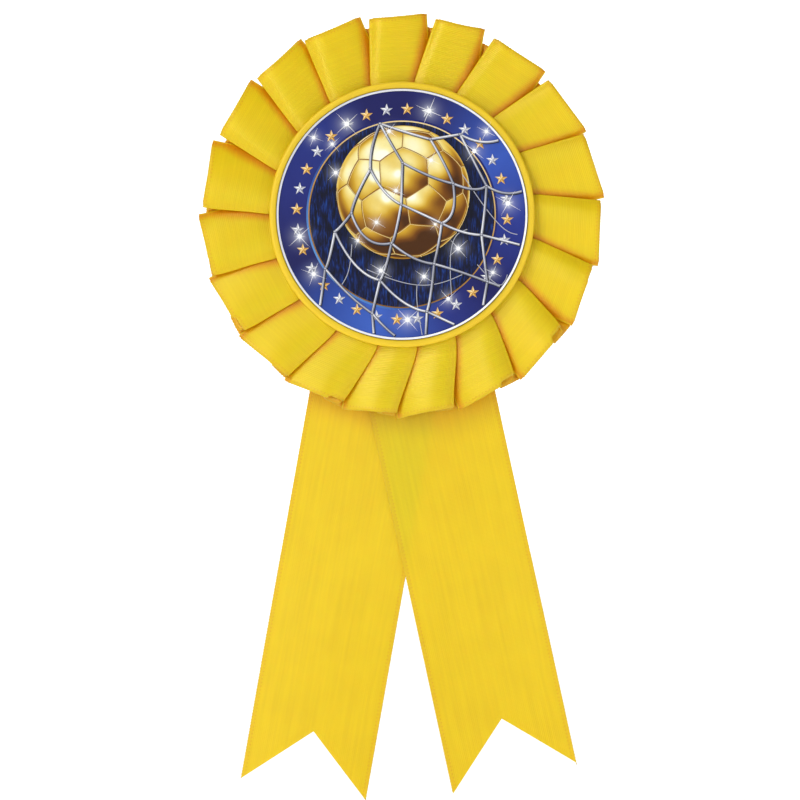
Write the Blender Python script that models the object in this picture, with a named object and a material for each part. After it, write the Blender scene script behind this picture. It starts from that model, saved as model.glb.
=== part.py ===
"""Award ribbon: a pleated satin rosette with a printed centre disc, two swallow-tailed ribbon
tails and a brooch pin with a turning safety catch.

Metres, +Z up. The origin is the centre of the printed label's face, which faces -Y. Every piece is
drawn in a front view (X right, Y up, Z towards the viewer) under one empty that stands this view
upright, so a depth below is a distance in front of the rear cover's outer face, and what lies
behind the cover has a negative depth.
"""

import math

import bmesh
import bpy
from mathutils import Matrix, Vector

MM = 0.001

# Clearances
GAP = 0.3 * MM  # between pieces that lie against each other
RUNNING = 0.1 * MM  # radial, between a turning piece and what it turns in or on

# Pleated ribbon
SATIN_THICKNESS = 0.3 * MM
PLEAT_COUNT = 19
ROSETTE_RADIUS = 40.3 * MM  # centre to the middle of a pleat's straight outer edge
PLEAT_RIBBON_WIDTH = 25.0 * MM
PLEAT_CLOTH = 26.4 * MM  # length of ribbon that one pleat takes up
PANEL_WIDTH = 12.0 * MM  # front panel of a pleat at the rim
PANEL_OVERLAP = 2.9 * MM  # how far a panel reaches over its neighbour near the centre
PANEL_ARCH = 1.0 * MM  # how far a panel bows forward at the rim
LAYER_STEP = 0.55 * MM  # from one layer of cloth to the next, middle to middle
UNDER_INSET = 1.6 * MM  # how far the lowest layer stays inside the rim

# Gathering thread
THREAD_RADIUS = 0.2 * MM
THREAD_ROOM = 0.4 * MM  # from the thread to the pleats and to the hub

# Centre
LABEL_DIAMETER = 50.0 * MM
LABEL_THICKNESS = 0.4 * MM
LABEL_STAND_OUT = 0.2 * MM  # label's face in front of the holder's rim
LABEL_ADHESIVE_THICKNESS = 0.2 * MM
LABEL_ADHESIVE_MARGIN = 2.0 * MM
HOLDER_RIM_WIDTH = 1.2 * MM
HOLDER_FLOOR = 1.0 * MM
HUB_WALL = 1.2 * MM
HOLDER_GLUE_THICKNESS = 0.4 * MM

# Cards
CARD_DIAMETER = 60.0 * MM
CARD_THICKNESS = 1.2 * MM
COVER_DIAMETER = 58.0 * MM
COVER_THICKNESS = 0.6 * MM
COVER_GLUE_WIDTH = 1.6 * MM
COVER_GLUE_MARGIN = 1.2 * MM
COVER_GLUE_OPENING = math.radians(116)  # left free at the bottom, where the tails leave

# Tails
TAIL_WIDTH = 25.5 * MM
TAIL_REACH_ABOVE = 4.0 * MM  # how far a tail runs past the centre, under the card
TAIL_HINGE_MARGIN = 1.2 * MM  # from the rim to the line where a tail starts to swing
# tilt from straight down (positive to the right), sideways offset of the middle line from the
# centre, centre to the tips, depth of the swallow-tail notch
LEFT_TAIL = {"tilt": math.radians(-10.0), "offset": 0.65 * MM, "length": 116.5 * MM, "notch": 11.5 * MM}
RIGHT_TAIL = {"tilt": math.radians(12.3), "offset": -1.95 * MM, "length": 114.8 * MM, "notch": 12.0 * MM}

# Staples
STAPLE_CROWN = 8.4 * MM
STAPLE_WIRE = 0.45 * MM
STAPLE_CLINCH = 2.4 * MM
STAPLE_SPACING = 11.0 * MM
STAPLE_DROP = 7.0 * MM  # below the centre

# Brooch bar
BAR_LENGTH = 32.0 * MM
BAR_WIDTH = 6.0 * MM
BAR_THICKNESS = 0.6 * MM
BAR_HEIGHT = 10.0 * MM  # above the centre
BAR_HOLE_RADIUS = 0.9 * MM
BAR_HOLE_SPACING = 7.0 * MM
PAD_THICKNESS = 0.5 * MM
PAD_MARGIN = 1.0 * MM
CLOTH_ROOM = 3.1 * MM  # between the bar and the needle

# Needle and its hinge
HINGE_INSET = 3.2 * MM  # from the bar's end to the rivet
NEEDLE_RADIUS = 0.4 * MM
NEEDLE_OVERRUN = 1.2 * MM  # past the catch
NEEDLE_POINT = 3.5 * MM
NEEDLE_POINT_RADIUS = 0.08 * MM
EYE_WALL = 0.5 * MM
EYE_WIDTH = 1.6 * MM
RIVET_RADIUS = 0.5 * MM
RIVET_HEAD_RADIUS = 0.95 * MM
RIVET_HEAD_THICKNESS = 0.4 * MM
EAR_THICKNESS = 0.5 * MM
EAR_MARGIN = 0.3 * MM  # ear beyond the needle's eye
EAR_CLEARANCE = 0.15 * MM

# Safety catch
CATCH_INSET = 4.0 * MM  # from the bar's end to the middle of the catch
CATCH_LENGTH = 3.4 * MM
CATCH_ROOM = 0.7 * MM  # around the needle
SLEEVE_WALL = 0.5 * MM
SLEEVE_FLANGE = 0.35 * MM
SLEEVE_END_PLAY = 0.15 * MM
HOUSING_WALL = 0.5 * MM
FOOT_WIDTH = 2.4 * MM
TAB_THICKNESS = 0.6 * MM
TAB_LENGTH = 2.2 * MM
TAB_REACH = 1.2 * MM  # beyond the housing
TAB_ANGLE = math.radians(-60)  # from straight back, positive upwards
CATCH_TURN = math.radians(90)
TAB_ROOM = math.radians(15)  # housing's opening beyond the tab at each end of its turn

# Facets
DISC_SIDES = 96
RING_SIDES = 48
SMALL_SIDES = 20
HOLE_SIDES = 12
THREAD_SIDES = 6
ARC_STEP = math.radians(17.5)
SMOOTH_ANGLE = math.radians(35)

# Depths, from the back to the front
COVER_FRONT = COVER_THICKNESS
CROWN_BACK = COVER_FRONT + GAP
LEFT_TAIL_BACK = CROWN_BACK + STAPLE_WIRE + GAP
RIGHT_TAIL_BACK = LEFT_TAIL_BACK + SATIN_THICKNESS + GAP
CARD_BACK = RIGHT_TAIL_BACK + SATIN_THICKNESS + GAP
CARD_FRONT = CARD_BACK + CARD_THICKNESS
CLINCH_BACK = CARD_FRONT + GAP
PLEATS_BASE = CARD_FRONT + GAP + SATIN_THICKNESS / 2
TOP_LEVEL = 7  # layers of cloth above the lowest one, at a pleat's left fold
FLANGE_BACK = PLEATS_BASE + TOP_LEVEL * LAYER_STEP + SATIN_THICKNESS / 2 + GAP
FLANGE_FLOOR = FLANGE_BACK + HOLDER_FLOOR
LABEL_ADHESIVE_BACK = FLANGE_FLOOR + GAP
LABEL_BACK = LABEL_ADHESIVE_BACK + LABEL_ADHESIVE_THICKNESS + GAP
LABEL_FRONT = LABEL_BACK + LABEL_THICKNESS
HOLDER_GLUE_BACK = CARD_FRONT + GAP
HUB_BACK = HOLDER_GLUE_BACK + HOLDER_GLUE_THICKNESS + GAP
PAD_FRONT = -GAP
BAR_FRONT = PAD_FRONT - PAD_THICKNESS - GAP
BAR_BACK = BAR_FRONT - BAR_THICKNESS
FOOT_FRONT = BAR_BACK - GAP
NEEDLE_DEPTH = BAR_BACK - CLOTH_ROOM - NEEDLE_RADIUS

# Radii and distances that follow from the sizes above
PLEATS_INNER = ROSETTE_RADIUS - PLEAT_RIBBON_WIDTH
THREAD_RING = PLEATS_INNER - THREAD_ROOM - THREAD_RADIUS
HUB_RADIUS = THREAD_RING - THREAD_RADIUS - THREAD_ROOM
LABEL_RADIUS = LABEL_DIAMETER / 2
HOLDER_RADIUS = LABEL_RADIUS + GAP + HOLDER_RIM_WIDTH
PLEAT_HALF_ANGLE = math.pi / PLEAT_COUNT
RIM_CORNER = math.hypot(ROSETTE_RADIUS, PANEL_WIDTH / 2 + LAYER_STEP / 2 + SATIN_THICKNESS)
TAIL_HINGE = RIM_CORNER + TAIL_HINGE_MARGIN
EYE_RADIUS = RIVET_RADIUS + RUNNING + EYE_WALL
EAR_RADIUS = EYE_RADIUS + EAR_MARGIN
EAR_INNER = EYE_WIDTH / 2 + EAR_CLEARANCE
EAR_OUTER = EAR_INNER + EAR_THICKNESS
RIVET_X = BAR_LENGTH / 2 - HINGE_INSET
CATCH_X = CATCH_INSET - BAR_LENGTH / 2
SLEEVE_INNER = NEEDLE_RADIUS + CATCH_ROOM
SLEEVE_OUTER = SLEEVE_INNER + SLEEVE_WALL
HOUSING_INNER = SLEEVE_OUTER + RUNNING
HOUSING_OUTER = HOUSING_INNER + HOUSING_WALL
SLEEVE_LENGTH = CATCH_LENGTH + 2 * (SLEEVE_END_PLAY + SLEEVE_FLANGE)
SLOT_HALF_ANGLE = math.asin((NEEDLE_RADIUS + GAP) / SLEEVE_INNER)


def clear_scene():
    for obj in list(bpy.data.objects):
        bpy.data.objects.remove(obj)


def finish(name, colour, roughness, metallic=0.0):
    """A plain Principled material for one sub-part."""
    material = bpy.data.materials.new(name)
    material.use_nodes = True
    shader = material.node_tree.nodes["Principled BSDF"]
    shader.inputs["Base Color"].default_value = (*colour, 1.0)
    shader.inputs["Roughness"].default_value = roughness
    shader.inputs["Metallic"].default_value = metallic
    return material


def add_object(name, shape, material=None, location=(0, 0, 0), turn=0.0):
    """An object from a bmesh, in the front view. A turn is about the axis towards the viewer."""
    bmesh.ops.recalc_face_normals(shape, faces=shape.faces)
    mesh = bpy.data.meshes.new(name)
    shape.to_mesh(mesh)
    shape.free()
    mesh.shade_smooth()
    mesh.set_sharp_from_angle(angle=SMOOTH_ANGLE)
    obj = bpy.data.objects.new(name, mesh)
    bpy.context.scene.collection.objects.link(obj)
    obj.parent = bpy.data.objects["front_view"]
    obj.location = location
    obj.rotation_euler.z = turn
    if material:
        mesh.materials.append(material)
    return obj


def helper(obj):
    """Marks a cutter, or a shape that is joined to another one, as no piece of its own."""
    obj.hide_render = True
    obj.display_type = "WIRE"
    return obj


def boolean(obj, operand, operation):
    modifier = obj.modifiers.new(operand.name, "BOOLEAN")
    modifier.object = operand
    modifier.operation = operation
    modifier.solver = "EXACT"


def circle(radius, sides, centre=(0.0, 0.0)):
    angles = [2 * math.pi * side / sides for side in range(sides)]
    return [(centre[0] + radius * math.cos(a), centre[1] + radius * math.sin(a)) for a in angles]


def plate(outline, back, front):
    """An outline in the front view, from one depth to another."""
    shape = bmesh.new()
    face = shape.faces.new([shape.verts.new((x, y, back)) for x, y in outline])
    raised = bmesh.ops.extrude_face_region(shape, geom=[face])["geom"]
    moved = [item for item in raised if isinstance(item, bmesh.types.BMVert)]
    bmesh.ops.translate(shape, verts=moved, vec=(0, 0, front - back))
    return shape


def turned(profile, sides):
    """A closed profile of (radius, depth) points, turned fully about the front view's depth axis."""
    shape = bmesh.new()
    corners = [shape.verts.new((radius, 0, depth)) for radius, depth in profile]
    on_axis = [radius == 0 for radius, _ in profile]
    edges = []
    for index, corner in enumerate(corners):
        following = (index + 1) % len(corners)
        if not (on_axis[index] and on_axis[following]):
            edges.append(shape.edges.new((corner, corners[following])))
    bmesh.ops.spin(
        shape, geom=corners + edges, cent=(0, 0, 0), axis=(0, 0, 1),
        angle=2 * math.pi, steps=sides, use_merge=True,
    )
    bmesh.ops.remove_doubles(shape, verts=shape.verts, dist=1e-7)
    return shape


def part_turned(profile, start, end):
    """A profile of (radius, x) points swept about the X axis. Angles are from straight back, upwards."""
    shape = bmesh.new()
    steps = math.ceil((end - start) / ARC_STEP)
    rows = []
    for step in range(steps + 1):
        angle = start + (end - start) * step / steps
        rows.append([
            shape.verts.new((x, radius * math.sin(angle), -radius * math.cos(angle)))
            for radius, x in profile
        ])
    count = len(profile)
    for row, following in zip(rows, rows[1:]):
        for index in range(count):
            after = (index + 1) % count
            shape.faces.new((row[index], row[after], following[after], following[index]))
    shape.faces.new(rows[0])
    shape.faces.new(rows[-1])
    return shape


def rod(points, sides):
    """A round rod along X from (x, radius) points, closed at both ends."""
    shape = turned([(0, points[0][0])] + [(radius, x) for x, radius in points] + [(0, points[-1][0])], sides)
    bmesh.ops.transform(shape, matrix=Matrix.Rotation(math.pi / 2, 4, "Y"), verts=shape.verts)
    return shape


def upright(shape):
    """Turns a shape made about the depth axis to stand on the view's Y axis: its y becomes depth."""
    bmesh.ops.transform(shape, matrix=Matrix.Rotation(math.pi / 2, 4, "X"), verts=shape.verts)
    return shape


def ring_profile(inner, outer, back, front):
    return [(outer, back), (outer, front), (inner, front), (inner, back)]


def make_centre(print_finish, glue_finish, plastic_finish):
    add_object("printed_label", plate(circle(LABEL_RADIUS, DISC_SIDES), LABEL_BACK, LABEL_FRONT), print_finish)

    adhesive = circle(LABEL_RADIUS - LABEL_ADHESIVE_MARGIN, RING_SIDES)
    adhesive_front = LABEL_ADHESIVE_BACK + LABEL_ADHESIVE_THICKNESS
    add_object("label_adhesive", plate(adhesive, LABEL_ADHESIVE_BACK, adhesive_front), glue_finish)

    rim_front = LABEL_FRONT - LABEL_STAND_OUT
    cup = [
        (0, FLANGE_FLOOR),
        (0, FLANGE_BACK),
        (HUB_RADIUS - HUB_WALL, FLANGE_BACK),
        (HUB_RADIUS - HUB_WALL, HUB_BACK),
        (HUB_RADIUS, HUB_BACK),
        (HUB_RADIUS, FLANGE_BACK),
        (HOLDER_RADIUS, FLANGE_BACK),
        (HOLDER_RADIUS, rim_front),
        (HOLDER_RADIUS - HOLDER_RIM_WIDTH, rim_front),
        (HOLDER_RADIUS - HOLDER_RIM_WIDTH, FLANGE_FLOOR),
    ]
    add_object("centre_holder", turned(cup, RING_SIDES), plastic_finish)

    glue_front = HOLDER_GLUE_BACK + HOLDER_GLUE_THICKNESS
    glue = ring_profile(HUB_RADIUS - HUB_WALL, HUB_RADIUS, HOLDER_GLUE_BACK, glue_front)
    add_object("holder_glue_ring", turned(glue, RING_SIDES), glue_finish)


def panel_width(reach):
    return min(PANEL_WIDTH, pleat_pitch(reach) + PANEL_OVERLAP)


def pleat_pitch(reach):
    """From one panel's middle line to the next, at this distance from the centre."""
    return 2 * reach * math.tan(PLEAT_HALF_ANGLE)


def pleat_path(reach, arch):
    """One box pleat as (panel, across, level): the panel whose middle line the point is measured
    from (0 this one, 1 the next), its distance from that line, and its layer above the lowest."""
    half = panel_width(reach) / 2
    tuck = min((PLEAT_CLOTH - pleat_pitch(reach)) / 4, 1.33 * half)
    bulge = LAYER_STEP / 2
    # the left return passes over the neighbour's right fold, where the two overlap
    over_fold = half - pleat_pitch(reach)
    over_fold = min(max(over_fold, 0.35 * tuck - half), 0.65 * tuck - half)
    return [
        (0, -half - bulge, 6.5),
        (0, -half, 7),
        (0, 0, 5.5 + arch / LAYER_STEP),
        (0, half, 4),
        (0, half + bulge, 3.5),
        (0, half, 3),
        (0, half - tuck, 1),
        (0, half - tuck - bulge, 0.5),
        (0, half - tuck, 0),
        (0, half, 2),
        (1, tuck - half, 3),
        (1, tuck - half + bulge, 3.5),
        (1, tuck - half, 4),
        (1, over_fold, 5),
        (1, -half, 6),
    ]


def make_pleats(satin_finish, thread_finish):
    """One ribbon in box pleats right round the centre. A panel's left fold lies over the
    right fold of the panel before it."""
    no_taper = (PANEL_WIDTH - PANEL_OVERLAP) / (2 * math.tan(PLEAT_HALF_ANGLE))
    middle = min(no_taper, (PLEATS_INNER + ROSETTE_RADIUS) / 2 + PANEL_OVERLAP)
    rows = ((PLEATS_INNER, 0.0, 0.0), (middle, 0.0, 0.0), (ROSETTE_RADIUS, PANEL_ARCH, UNDER_INSET))
    shape = bmesh.new()
    columns = []
    for pleat in range(PLEAT_COUNT):
        paths = [(reach, inset, pleat_path(reach, arch)) for reach, arch, inset in rows]
        for index in range(len(paths[0][2])):
            column = []
            for reach, inset, path in paths:
                panel, across, level = path[index]
                along = reach - inset * max(0.0, 1 - level / TOP_LEVEL)
                angle = math.pi / 2 - 2 * PLEAT_HALF_ANGLE * (pleat + panel)
                spot = Matrix.Rotation(angle, 2) @ Vector((along, -across))
                column.append(shape.verts.new((*spot, PLEATS_BASE + level * LAYER_STEP)))
            columns.append(column)
    for left, right in zip(columns, columns[1:] + columns[:1]):
        for row in range(len(rows) - 1):
            shape.faces.new((left[row], left[row + 1], right[row + 1], right[row]))
    ribbon = add_object("pleated_ribbon", shape, satin_finish)
    wall = ribbon.modifiers.new("satin", "SOLIDIFY")
    wall.thickness = SATIN_THICKNESS
    wall.offset = 0.0
    wall.use_even_offset = True

    depth = PLEATS_BASE + TOP_LEVEL * LAYER_STEP / 2
    section = circle(THREAD_RADIUS, THREAD_SIDES, (THREAD_RING, depth))
    add_object("gathering_thread", turned(section, RING_SIDES), thread_finish)


def tail_frame(tail, distance):
    """Where a tail's middle line is, at this distance from the centre."""
    down = Vector((math.sin(tail["tilt"]), -math.cos(tail["tilt"])))
    across = Vector((math.cos(tail["tilt"]), math.sin(tail["tilt"])))
    return (*(down * distance + across * tail["offset"]), 0.0)


def make_tail(side, tail, back, satin_finish, leg_cutter):
    """A tail is one ribbon. Its top stretch is stapled to the card, and the rest swings from
    the line just outside the rim."""
    half = TAIL_WIDTH / 2
    front = back + SATIN_THICKNESS
    top_end = TAIL_HINGE - GAP / 2
    top = [(-half, -top_end), (half, -top_end), (half, TAIL_REACH_ABOVE), (-half, TAIL_REACH_ABOVE)]
    stretch = add_object(
        side + "_tail_top", plate(top, back, front), satin_finish,
        location=tail_frame(tail, 0), turn=tail["tilt"],
    )
    boolean(stretch, leg_cutter, "DIFFERENCE")

    tips = -(tail["length"] - TAIL_HINGE)
    free = [
        (-half, -GAP / 2),
        (-half, tips),
        (0, tips + tail["notch"]),
        (half, tips),
        (half, -GAP / 2),
    ]
    hinge = Vector(tail_frame(tail, TAIL_HINGE)) + Vector((0, 0, (back + front) / 2))
    add_object(
        side + "_tail", plate(free, -SATIN_THICKNESS / 2, SATIN_THICKNESS / 2), satin_finish,
        location=hinge, turn=tail["tilt"],
    )


def staple_centres():
    return [("left_staple", -STAPLE_SPACING / 2), ("right_staple", STAPLE_SPACING / 2)]


def make_leg_cutter():
    """The holes that the staples' legs make, one for each leg."""
    radius = STAPLE_WIRE / 2 * math.sqrt(2) + GAP
    shape = bmesh.new()
    for _, centre in staple_centres():
        for side in (-1, 1):
            leg = centre + side * (STAPLE_CROWN - STAPLE_WIRE) / 2
            bmesh.ops.create_cone(
                shape, cap_ends=True, segments=HOLE_SIDES, radius1=radius, radius2=radius,
                depth=2 * CARD_FRONT, matrix=Matrix.Translation((leg, -STAPLE_DROP, CARD_FRONT)),
            )
    return helper(add_object("staple_leg_cutter", shape))


def make_staples(steel_finish):
    """A flat-bent staple: crown behind the tails, legs through them and the card, ends turned in."""
    half = STAPLE_CROWN / 2
    inside = half - STAPLE_WIRE
    clinched = half - STAPLE_CLINCH
    crown_front = CROWN_BACK + STAPLE_WIRE
    clinch_front = CLINCH_BACK + STAPLE_WIRE
    right_half = [
        (half, CROWN_BACK), (half, clinch_front), (clinched, clinch_front),
        (clinched, CLINCH_BACK), (inside, CLINCH_BACK), (inside, crown_front),
    ]
    outline = right_half + [(-x, depth) for x, depth in reversed(right_half)]
    for name, centre in staple_centres():
        shape = upright(plate(outline, -STAPLE_WIRE / 2, STAPLE_WIRE / 2))
        add_object(name, shape, steel_finish, location=(centre, -STAPLE_DROP, 0))


def make_cards(card_finish, cover_finish, glue_finish, leg_cutter):
    card = add_object(
        "backing_card", plate(circle(CARD_DIAMETER / 2, DISC_SIDES), CARD_BACK, CARD_FRONT), card_finish
    )
    boolean(card, leg_cutter, "DIFFERENCE")
    add_object("rear_cover", plate(circle(COVER_DIAMETER / 2, DISC_SIDES), 0, COVER_FRONT), cover_finish)

    outer = COVER_DIAMETER / 2 - COVER_GLUE_MARGIN
    inner = outer - COVER_GLUE_WIDTH
    reach = math.pi - COVER_GLUE_OPENING / 2
    angles = [math.pi / 2 + reach * (2 * step / RING_SIDES - 1) for step in range(RING_SIDES + 1)]
    outline = [(outer * math.cos(a), outer * math.sin(a)) for a in angles]
    outline += [(inner * math.cos(a), inner * math.sin(a)) for a in reversed(angles)]
    add_object("cover_glue_bead", plate(outline, COVER_FRONT + GAP, CARD_BACK - GAP), glue_finish)


def rounded_bar(length, width):
    """A bar with half-round ends."""
    radius = width / 2
    straight = length / 2 - radius
    half_turn = range(HOLE_SIDES + 1)
    right = [math.pi * (step / HOLE_SIDES - 0.5) for step in half_turn]
    outline = [(straight + radius * math.cos(a), radius * math.sin(a)) for a in right]
    return outline + [(-x, -y) for x, y in outline]


def make_bar(steel_finish, foam_finish):
    place = (0, BAR_HEIGHT, 0)
    pad = rounded_bar(BAR_LENGTH - 2 * PAD_MARGIN, BAR_WIDTH - 2 * PAD_MARGIN)
    add_object("pin_adhesive_pad", plate(pad, PAD_FRONT - PAD_THICKNESS, PAD_FRONT), foam_finish, place)

    bar = add_object(
        "pin_bar", plate(rounded_bar(BAR_LENGTH, BAR_WIDTH), BAR_BACK, BAR_FRONT), steel_finish, place
    )
    holes = bmesh.new()
    for step in (-1, 0, 1):
        bmesh.ops.create_cone(
            holes, cap_ends=True, segments=SMALL_SIDES, radius1=BAR_HOLE_RADIUS,
            radius2=BAR_HOLE_RADIUS, depth=4 * BAR_THICKNESS,
            matrix=Matrix.Translation((step * BAR_HOLE_SPACING, 0, (BAR_FRONT + BAR_BACK) / 2)),
        )
    boolean(bar, helper(add_object("bar_hole_cutter", holes, location=place)), "DIFFERENCE")


def ear_outline():
    """An ear seen along the rivet: x along the bar, and the depth from the rivet's axis."""
    foot = FOOT_FRONT - NEEDLE_DEPTH
    angles = [math.pi + math.pi * step / HOLE_SIDES for step in range(HOLE_SIDES + 1)]
    rounded = [(EAR_RADIUS * math.cos(a), EAR_RADIUS * math.sin(a)) for a in angles]
    return rounded + [(EAR_RADIUS, foot), (-EAR_RADIUS, foot)]


def make_needle_hinge(steel_finish, rivet_finish):
    """A folded bracket with two ears, the rivet through them, and the needle that turns on it."""
    place = (RIVET_X, BAR_HEIGHT, NEEDLE_DEPTH)
    bracket = add_object(
        "hinge_bracket", upright(plate(ear_outline(), -EAR_OUTER, EAR_OUTER)), steel_finish, place
    )
    room = 2 * EAR_RADIUS
    floor = FOOT_FRONT - EAR_THICKNESS - NEEDLE_DEPTH
    between = [(-room, -room), (room, -room), (room, floor), (-room, floor)]
    fork = helper(add_object("fork_cutter", upright(plate(between, -EAR_INNER, EAR_INNER)), location=place))
    boolean(bracket, fork, "DIFFERENCE")
    bore = circle(RIVET_RADIUS + RUNNING, SMALL_SIDES)
    ear_bore = upright(plate(bore, -2 * EAR_OUTER, 2 * EAR_OUTER))
    boolean(bracket, helper(add_object("ear_bore_cutter", ear_bore, location=place)), "DIFFERENCE")

    head_back = EAR_OUTER + RUNNING
    head_front = head_back + RIVET_HEAD_THICKNESS
    rivet = [
        (0, -head_front), (RIVET_HEAD_RADIUS, -head_front), (RIVET_HEAD_RADIUS, -head_back),
        (RIVET_RADIUS, -head_back), (RIVET_RADIUS, head_back), (RIVET_HEAD_RADIUS, head_back),
        (RIVET_HEAD_RADIUS, head_front), (0, head_front),
    ]
    add_object("hinge_rivet", upright(turned(rivet, SMALL_SIDES)), rivet_finish, place)

    eye = upright(turned(ring_profile(0, EYE_RADIUS, -EYE_WIDTH / 2, EYE_WIDTH / 2), SMALL_SIDES))
    needle = add_object("pin_needle", eye, steel_finish, place)
    tip = RIVET_X - (CATCH_X - SLEEVE_LENGTH / 2 - NEEDLE_OVERRUN)
    stem = rod(
        [(-tip, NEEDLE_POINT_RADIUS), (NEEDLE_POINT - tip, NEEDLE_RADIUS), (0, NEEDLE_RADIUS)], HOLE_SIDES
    )
    boolean(needle, helper(add_object("needle_stem", stem, location=place)), "UNION")
    eye_bore = upright(plate(bore, -EYE_WIDTH, EYE_WIDTH))
    boolean(needle, helper(add_object("eye_bore_cutter", eye_bore, location=place)), "DIFFERENCE")


def make_catch(steel_finish, sleeve_finish):
    """A C-shaped housing on the bar, and the slotted sleeve that turns in it over the needle."""
    place = (CATCH_X, BAR_HEIGHT, NEEDLE_DEPTH)
    half = CATCH_LENGTH / 2
    opening_end = TAB_ANGLE + CATCH_TURN + TAB_ROOM
    opening_start = TAB_ANGLE - TAB_ROOM
    wall = [(HOUSING_INNER, -half), (HOUSING_OUTER, -half), (HOUSING_OUTER, half), (HOUSING_INNER, half)]
    housing = add_object(
        "catch_housing", part_turned(wall, opening_end, opening_start + 2 * math.pi), steel_finish, place
    )
    into_wall = HOUSING_INNER + HOUSING_WALL / 2
    foot = plate(
        [(-half, -FOOT_WIDTH / 2), (half, -FOOT_WIDTH / 2), (half, FOOT_WIDTH / 2), (-half, FOOT_WIDTH / 2)],
        into_wall, FOOT_FRONT - NEEDLE_DEPTH,
    )
    boolean(housing, helper(add_object("housing_foot", foot, location=place)), "UNION")

    end = SLEEVE_LENGTH / 2
    flange = end - SLEEVE_FLANGE
    spool = [
        (SLEEVE_INNER, -end), (HOUSING_OUTER, -end), (HOUSING_OUTER, -flange), (SLEEVE_OUTER, -flange),
        (SLEEVE_OUTER, flange), (HOUSING_OUTER, flange), (HOUSING_OUTER, end), (SLEEVE_INNER, end),
    ]
    sleeve = add_object(
        "catch_sleeve", part_turned(spool, SLOT_HALF_ANGLE, 2 * math.pi - SLOT_HALF_ANGLE), sleeve_finish, place
    )
    root = SLEEVE_OUTER - SLEEVE_WALL / 2
    reach = HOUSING_OUTER + TAB_REACH
    corners = [
        (root, -TAB_THICKNESS / 2), (reach, -TAB_THICKNESS / 2),
        (reach, TAB_THICKNESS / 2), (root, TAB_THICKNESS / 2),
    ]
    tab = plate(corners, -TAB_LENGTH / 2, TAB_LENGTH / 2)
    # the plate's x becomes the direction straight back, and its depth becomes x
    back_along_x = Matrix(((0, 0, 1, 0), (0, -1, 0, 0), (-1, 0, 0, 0), (0, 0, 0, 1)))
    lifted = Matrix.Rotation(TAB_ANGLE, 4, "X")
    bmesh.ops.transform(tab, matrix=lifted @ back_along_x, verts=tab.verts)
    boolean(sleeve, helper(add_object("tab", tab, location=place)), "UNION")


def main():
    clear_scene()
    front_view = bpy.data.objects.new("front_view", None)
    front_view.rotation_euler.x = math.pi / 2
    front_view.location.y = LABEL_FRONT
    bpy.context.scene.collection.objects.link(front_view)

    satin = finish("yellow_satin", (0.84, 0.60, 0.035), 0.38)
    plastic = finish("yellow_plastic", (0.78, 0.56, 0.03), 0.35)
    thread = finish("yellow_thread", (0.75, 0.50, 0.05), 0.7)
    print_finish = finish("printed_film", (0.02, 0.03, 0.2), 0.2)
    card = finish("grey_card", (0.45, 0.42, 0.37), 0.85)
    cover = finish("white_card", (0.86, 0.86, 0.84), 0.6)
    glue = finish("clear_glue", (0.8, 0.78, 0.66), 0.3)
    foam = finish("white_foam", (0.88, 0.88, 0.86), 0.8)
    steel = finish("nickel_plated_steel", (0.62, 0.61, 0.58), 0.25, 1.0)
    rivet = finish("rivet_steel", (0.5, 0.5, 0.49), 0.35, 1.0)
    staple = finish("staple_wire", (0.56, 0.57, 0.58), 0.3, 1.0)

    make_centre(print_finish, glue, plastic)
    make_pleats(satin, thread)
    leg_cutter = make_leg_cutter()
    make_tail("left", LEFT_TAIL, LEFT_TAIL_BACK, satin, leg_cutter)
    make_tail("right", RIGHT_TAIL, RIGHT_TAIL_BACK, satin, leg_cutter)
    make_staples(staple)
    make_cards(card, cover, glue, leg_cutter)
    make_bar(steel, foam)
    make_needle_hinge(steel, rivet)
    make_catch(steel, steel)


main()
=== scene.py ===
import math

import bmesh
import bpy
import numpy as np
from mathutils import Matrix, Vector


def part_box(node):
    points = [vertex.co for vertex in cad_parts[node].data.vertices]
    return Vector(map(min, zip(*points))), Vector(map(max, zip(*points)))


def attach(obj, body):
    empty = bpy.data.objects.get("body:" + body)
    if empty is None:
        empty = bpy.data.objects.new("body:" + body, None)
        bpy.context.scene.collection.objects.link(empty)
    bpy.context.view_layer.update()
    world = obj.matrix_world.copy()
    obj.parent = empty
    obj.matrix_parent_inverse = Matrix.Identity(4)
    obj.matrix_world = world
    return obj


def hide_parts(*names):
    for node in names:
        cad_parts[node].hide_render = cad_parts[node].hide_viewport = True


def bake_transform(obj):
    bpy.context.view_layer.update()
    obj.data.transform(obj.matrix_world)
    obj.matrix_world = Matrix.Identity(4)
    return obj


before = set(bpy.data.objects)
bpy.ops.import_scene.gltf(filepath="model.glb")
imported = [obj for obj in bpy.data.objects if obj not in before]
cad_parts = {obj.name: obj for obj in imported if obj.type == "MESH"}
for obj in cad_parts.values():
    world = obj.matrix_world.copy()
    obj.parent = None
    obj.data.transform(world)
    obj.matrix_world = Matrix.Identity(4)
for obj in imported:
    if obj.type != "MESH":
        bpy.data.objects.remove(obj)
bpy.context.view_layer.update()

mm = 0.001
rosette = "rosette"
labelFace = 11.0  # the origin is the label's face, this far in front of the rear cover's outer face


# sizes are in mm: x to the right, z up, depth in front of the rear cover's outer face
def toWorld(x, z, depth):
    return (x * mm, (labelFace - depth) * mm, z * mm)


def hexColour(code):  # sRGB hex to the linear colour that Blender wants
    parts = [int(code[i:i + 2], 16) / 255 for i in (1, 3, 5)]
    return (*[c / 12.92 if c <= 0.04045 else ((c + 0.055) / 1.055) ** 2.4 for c in parts], 1.0)


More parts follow.
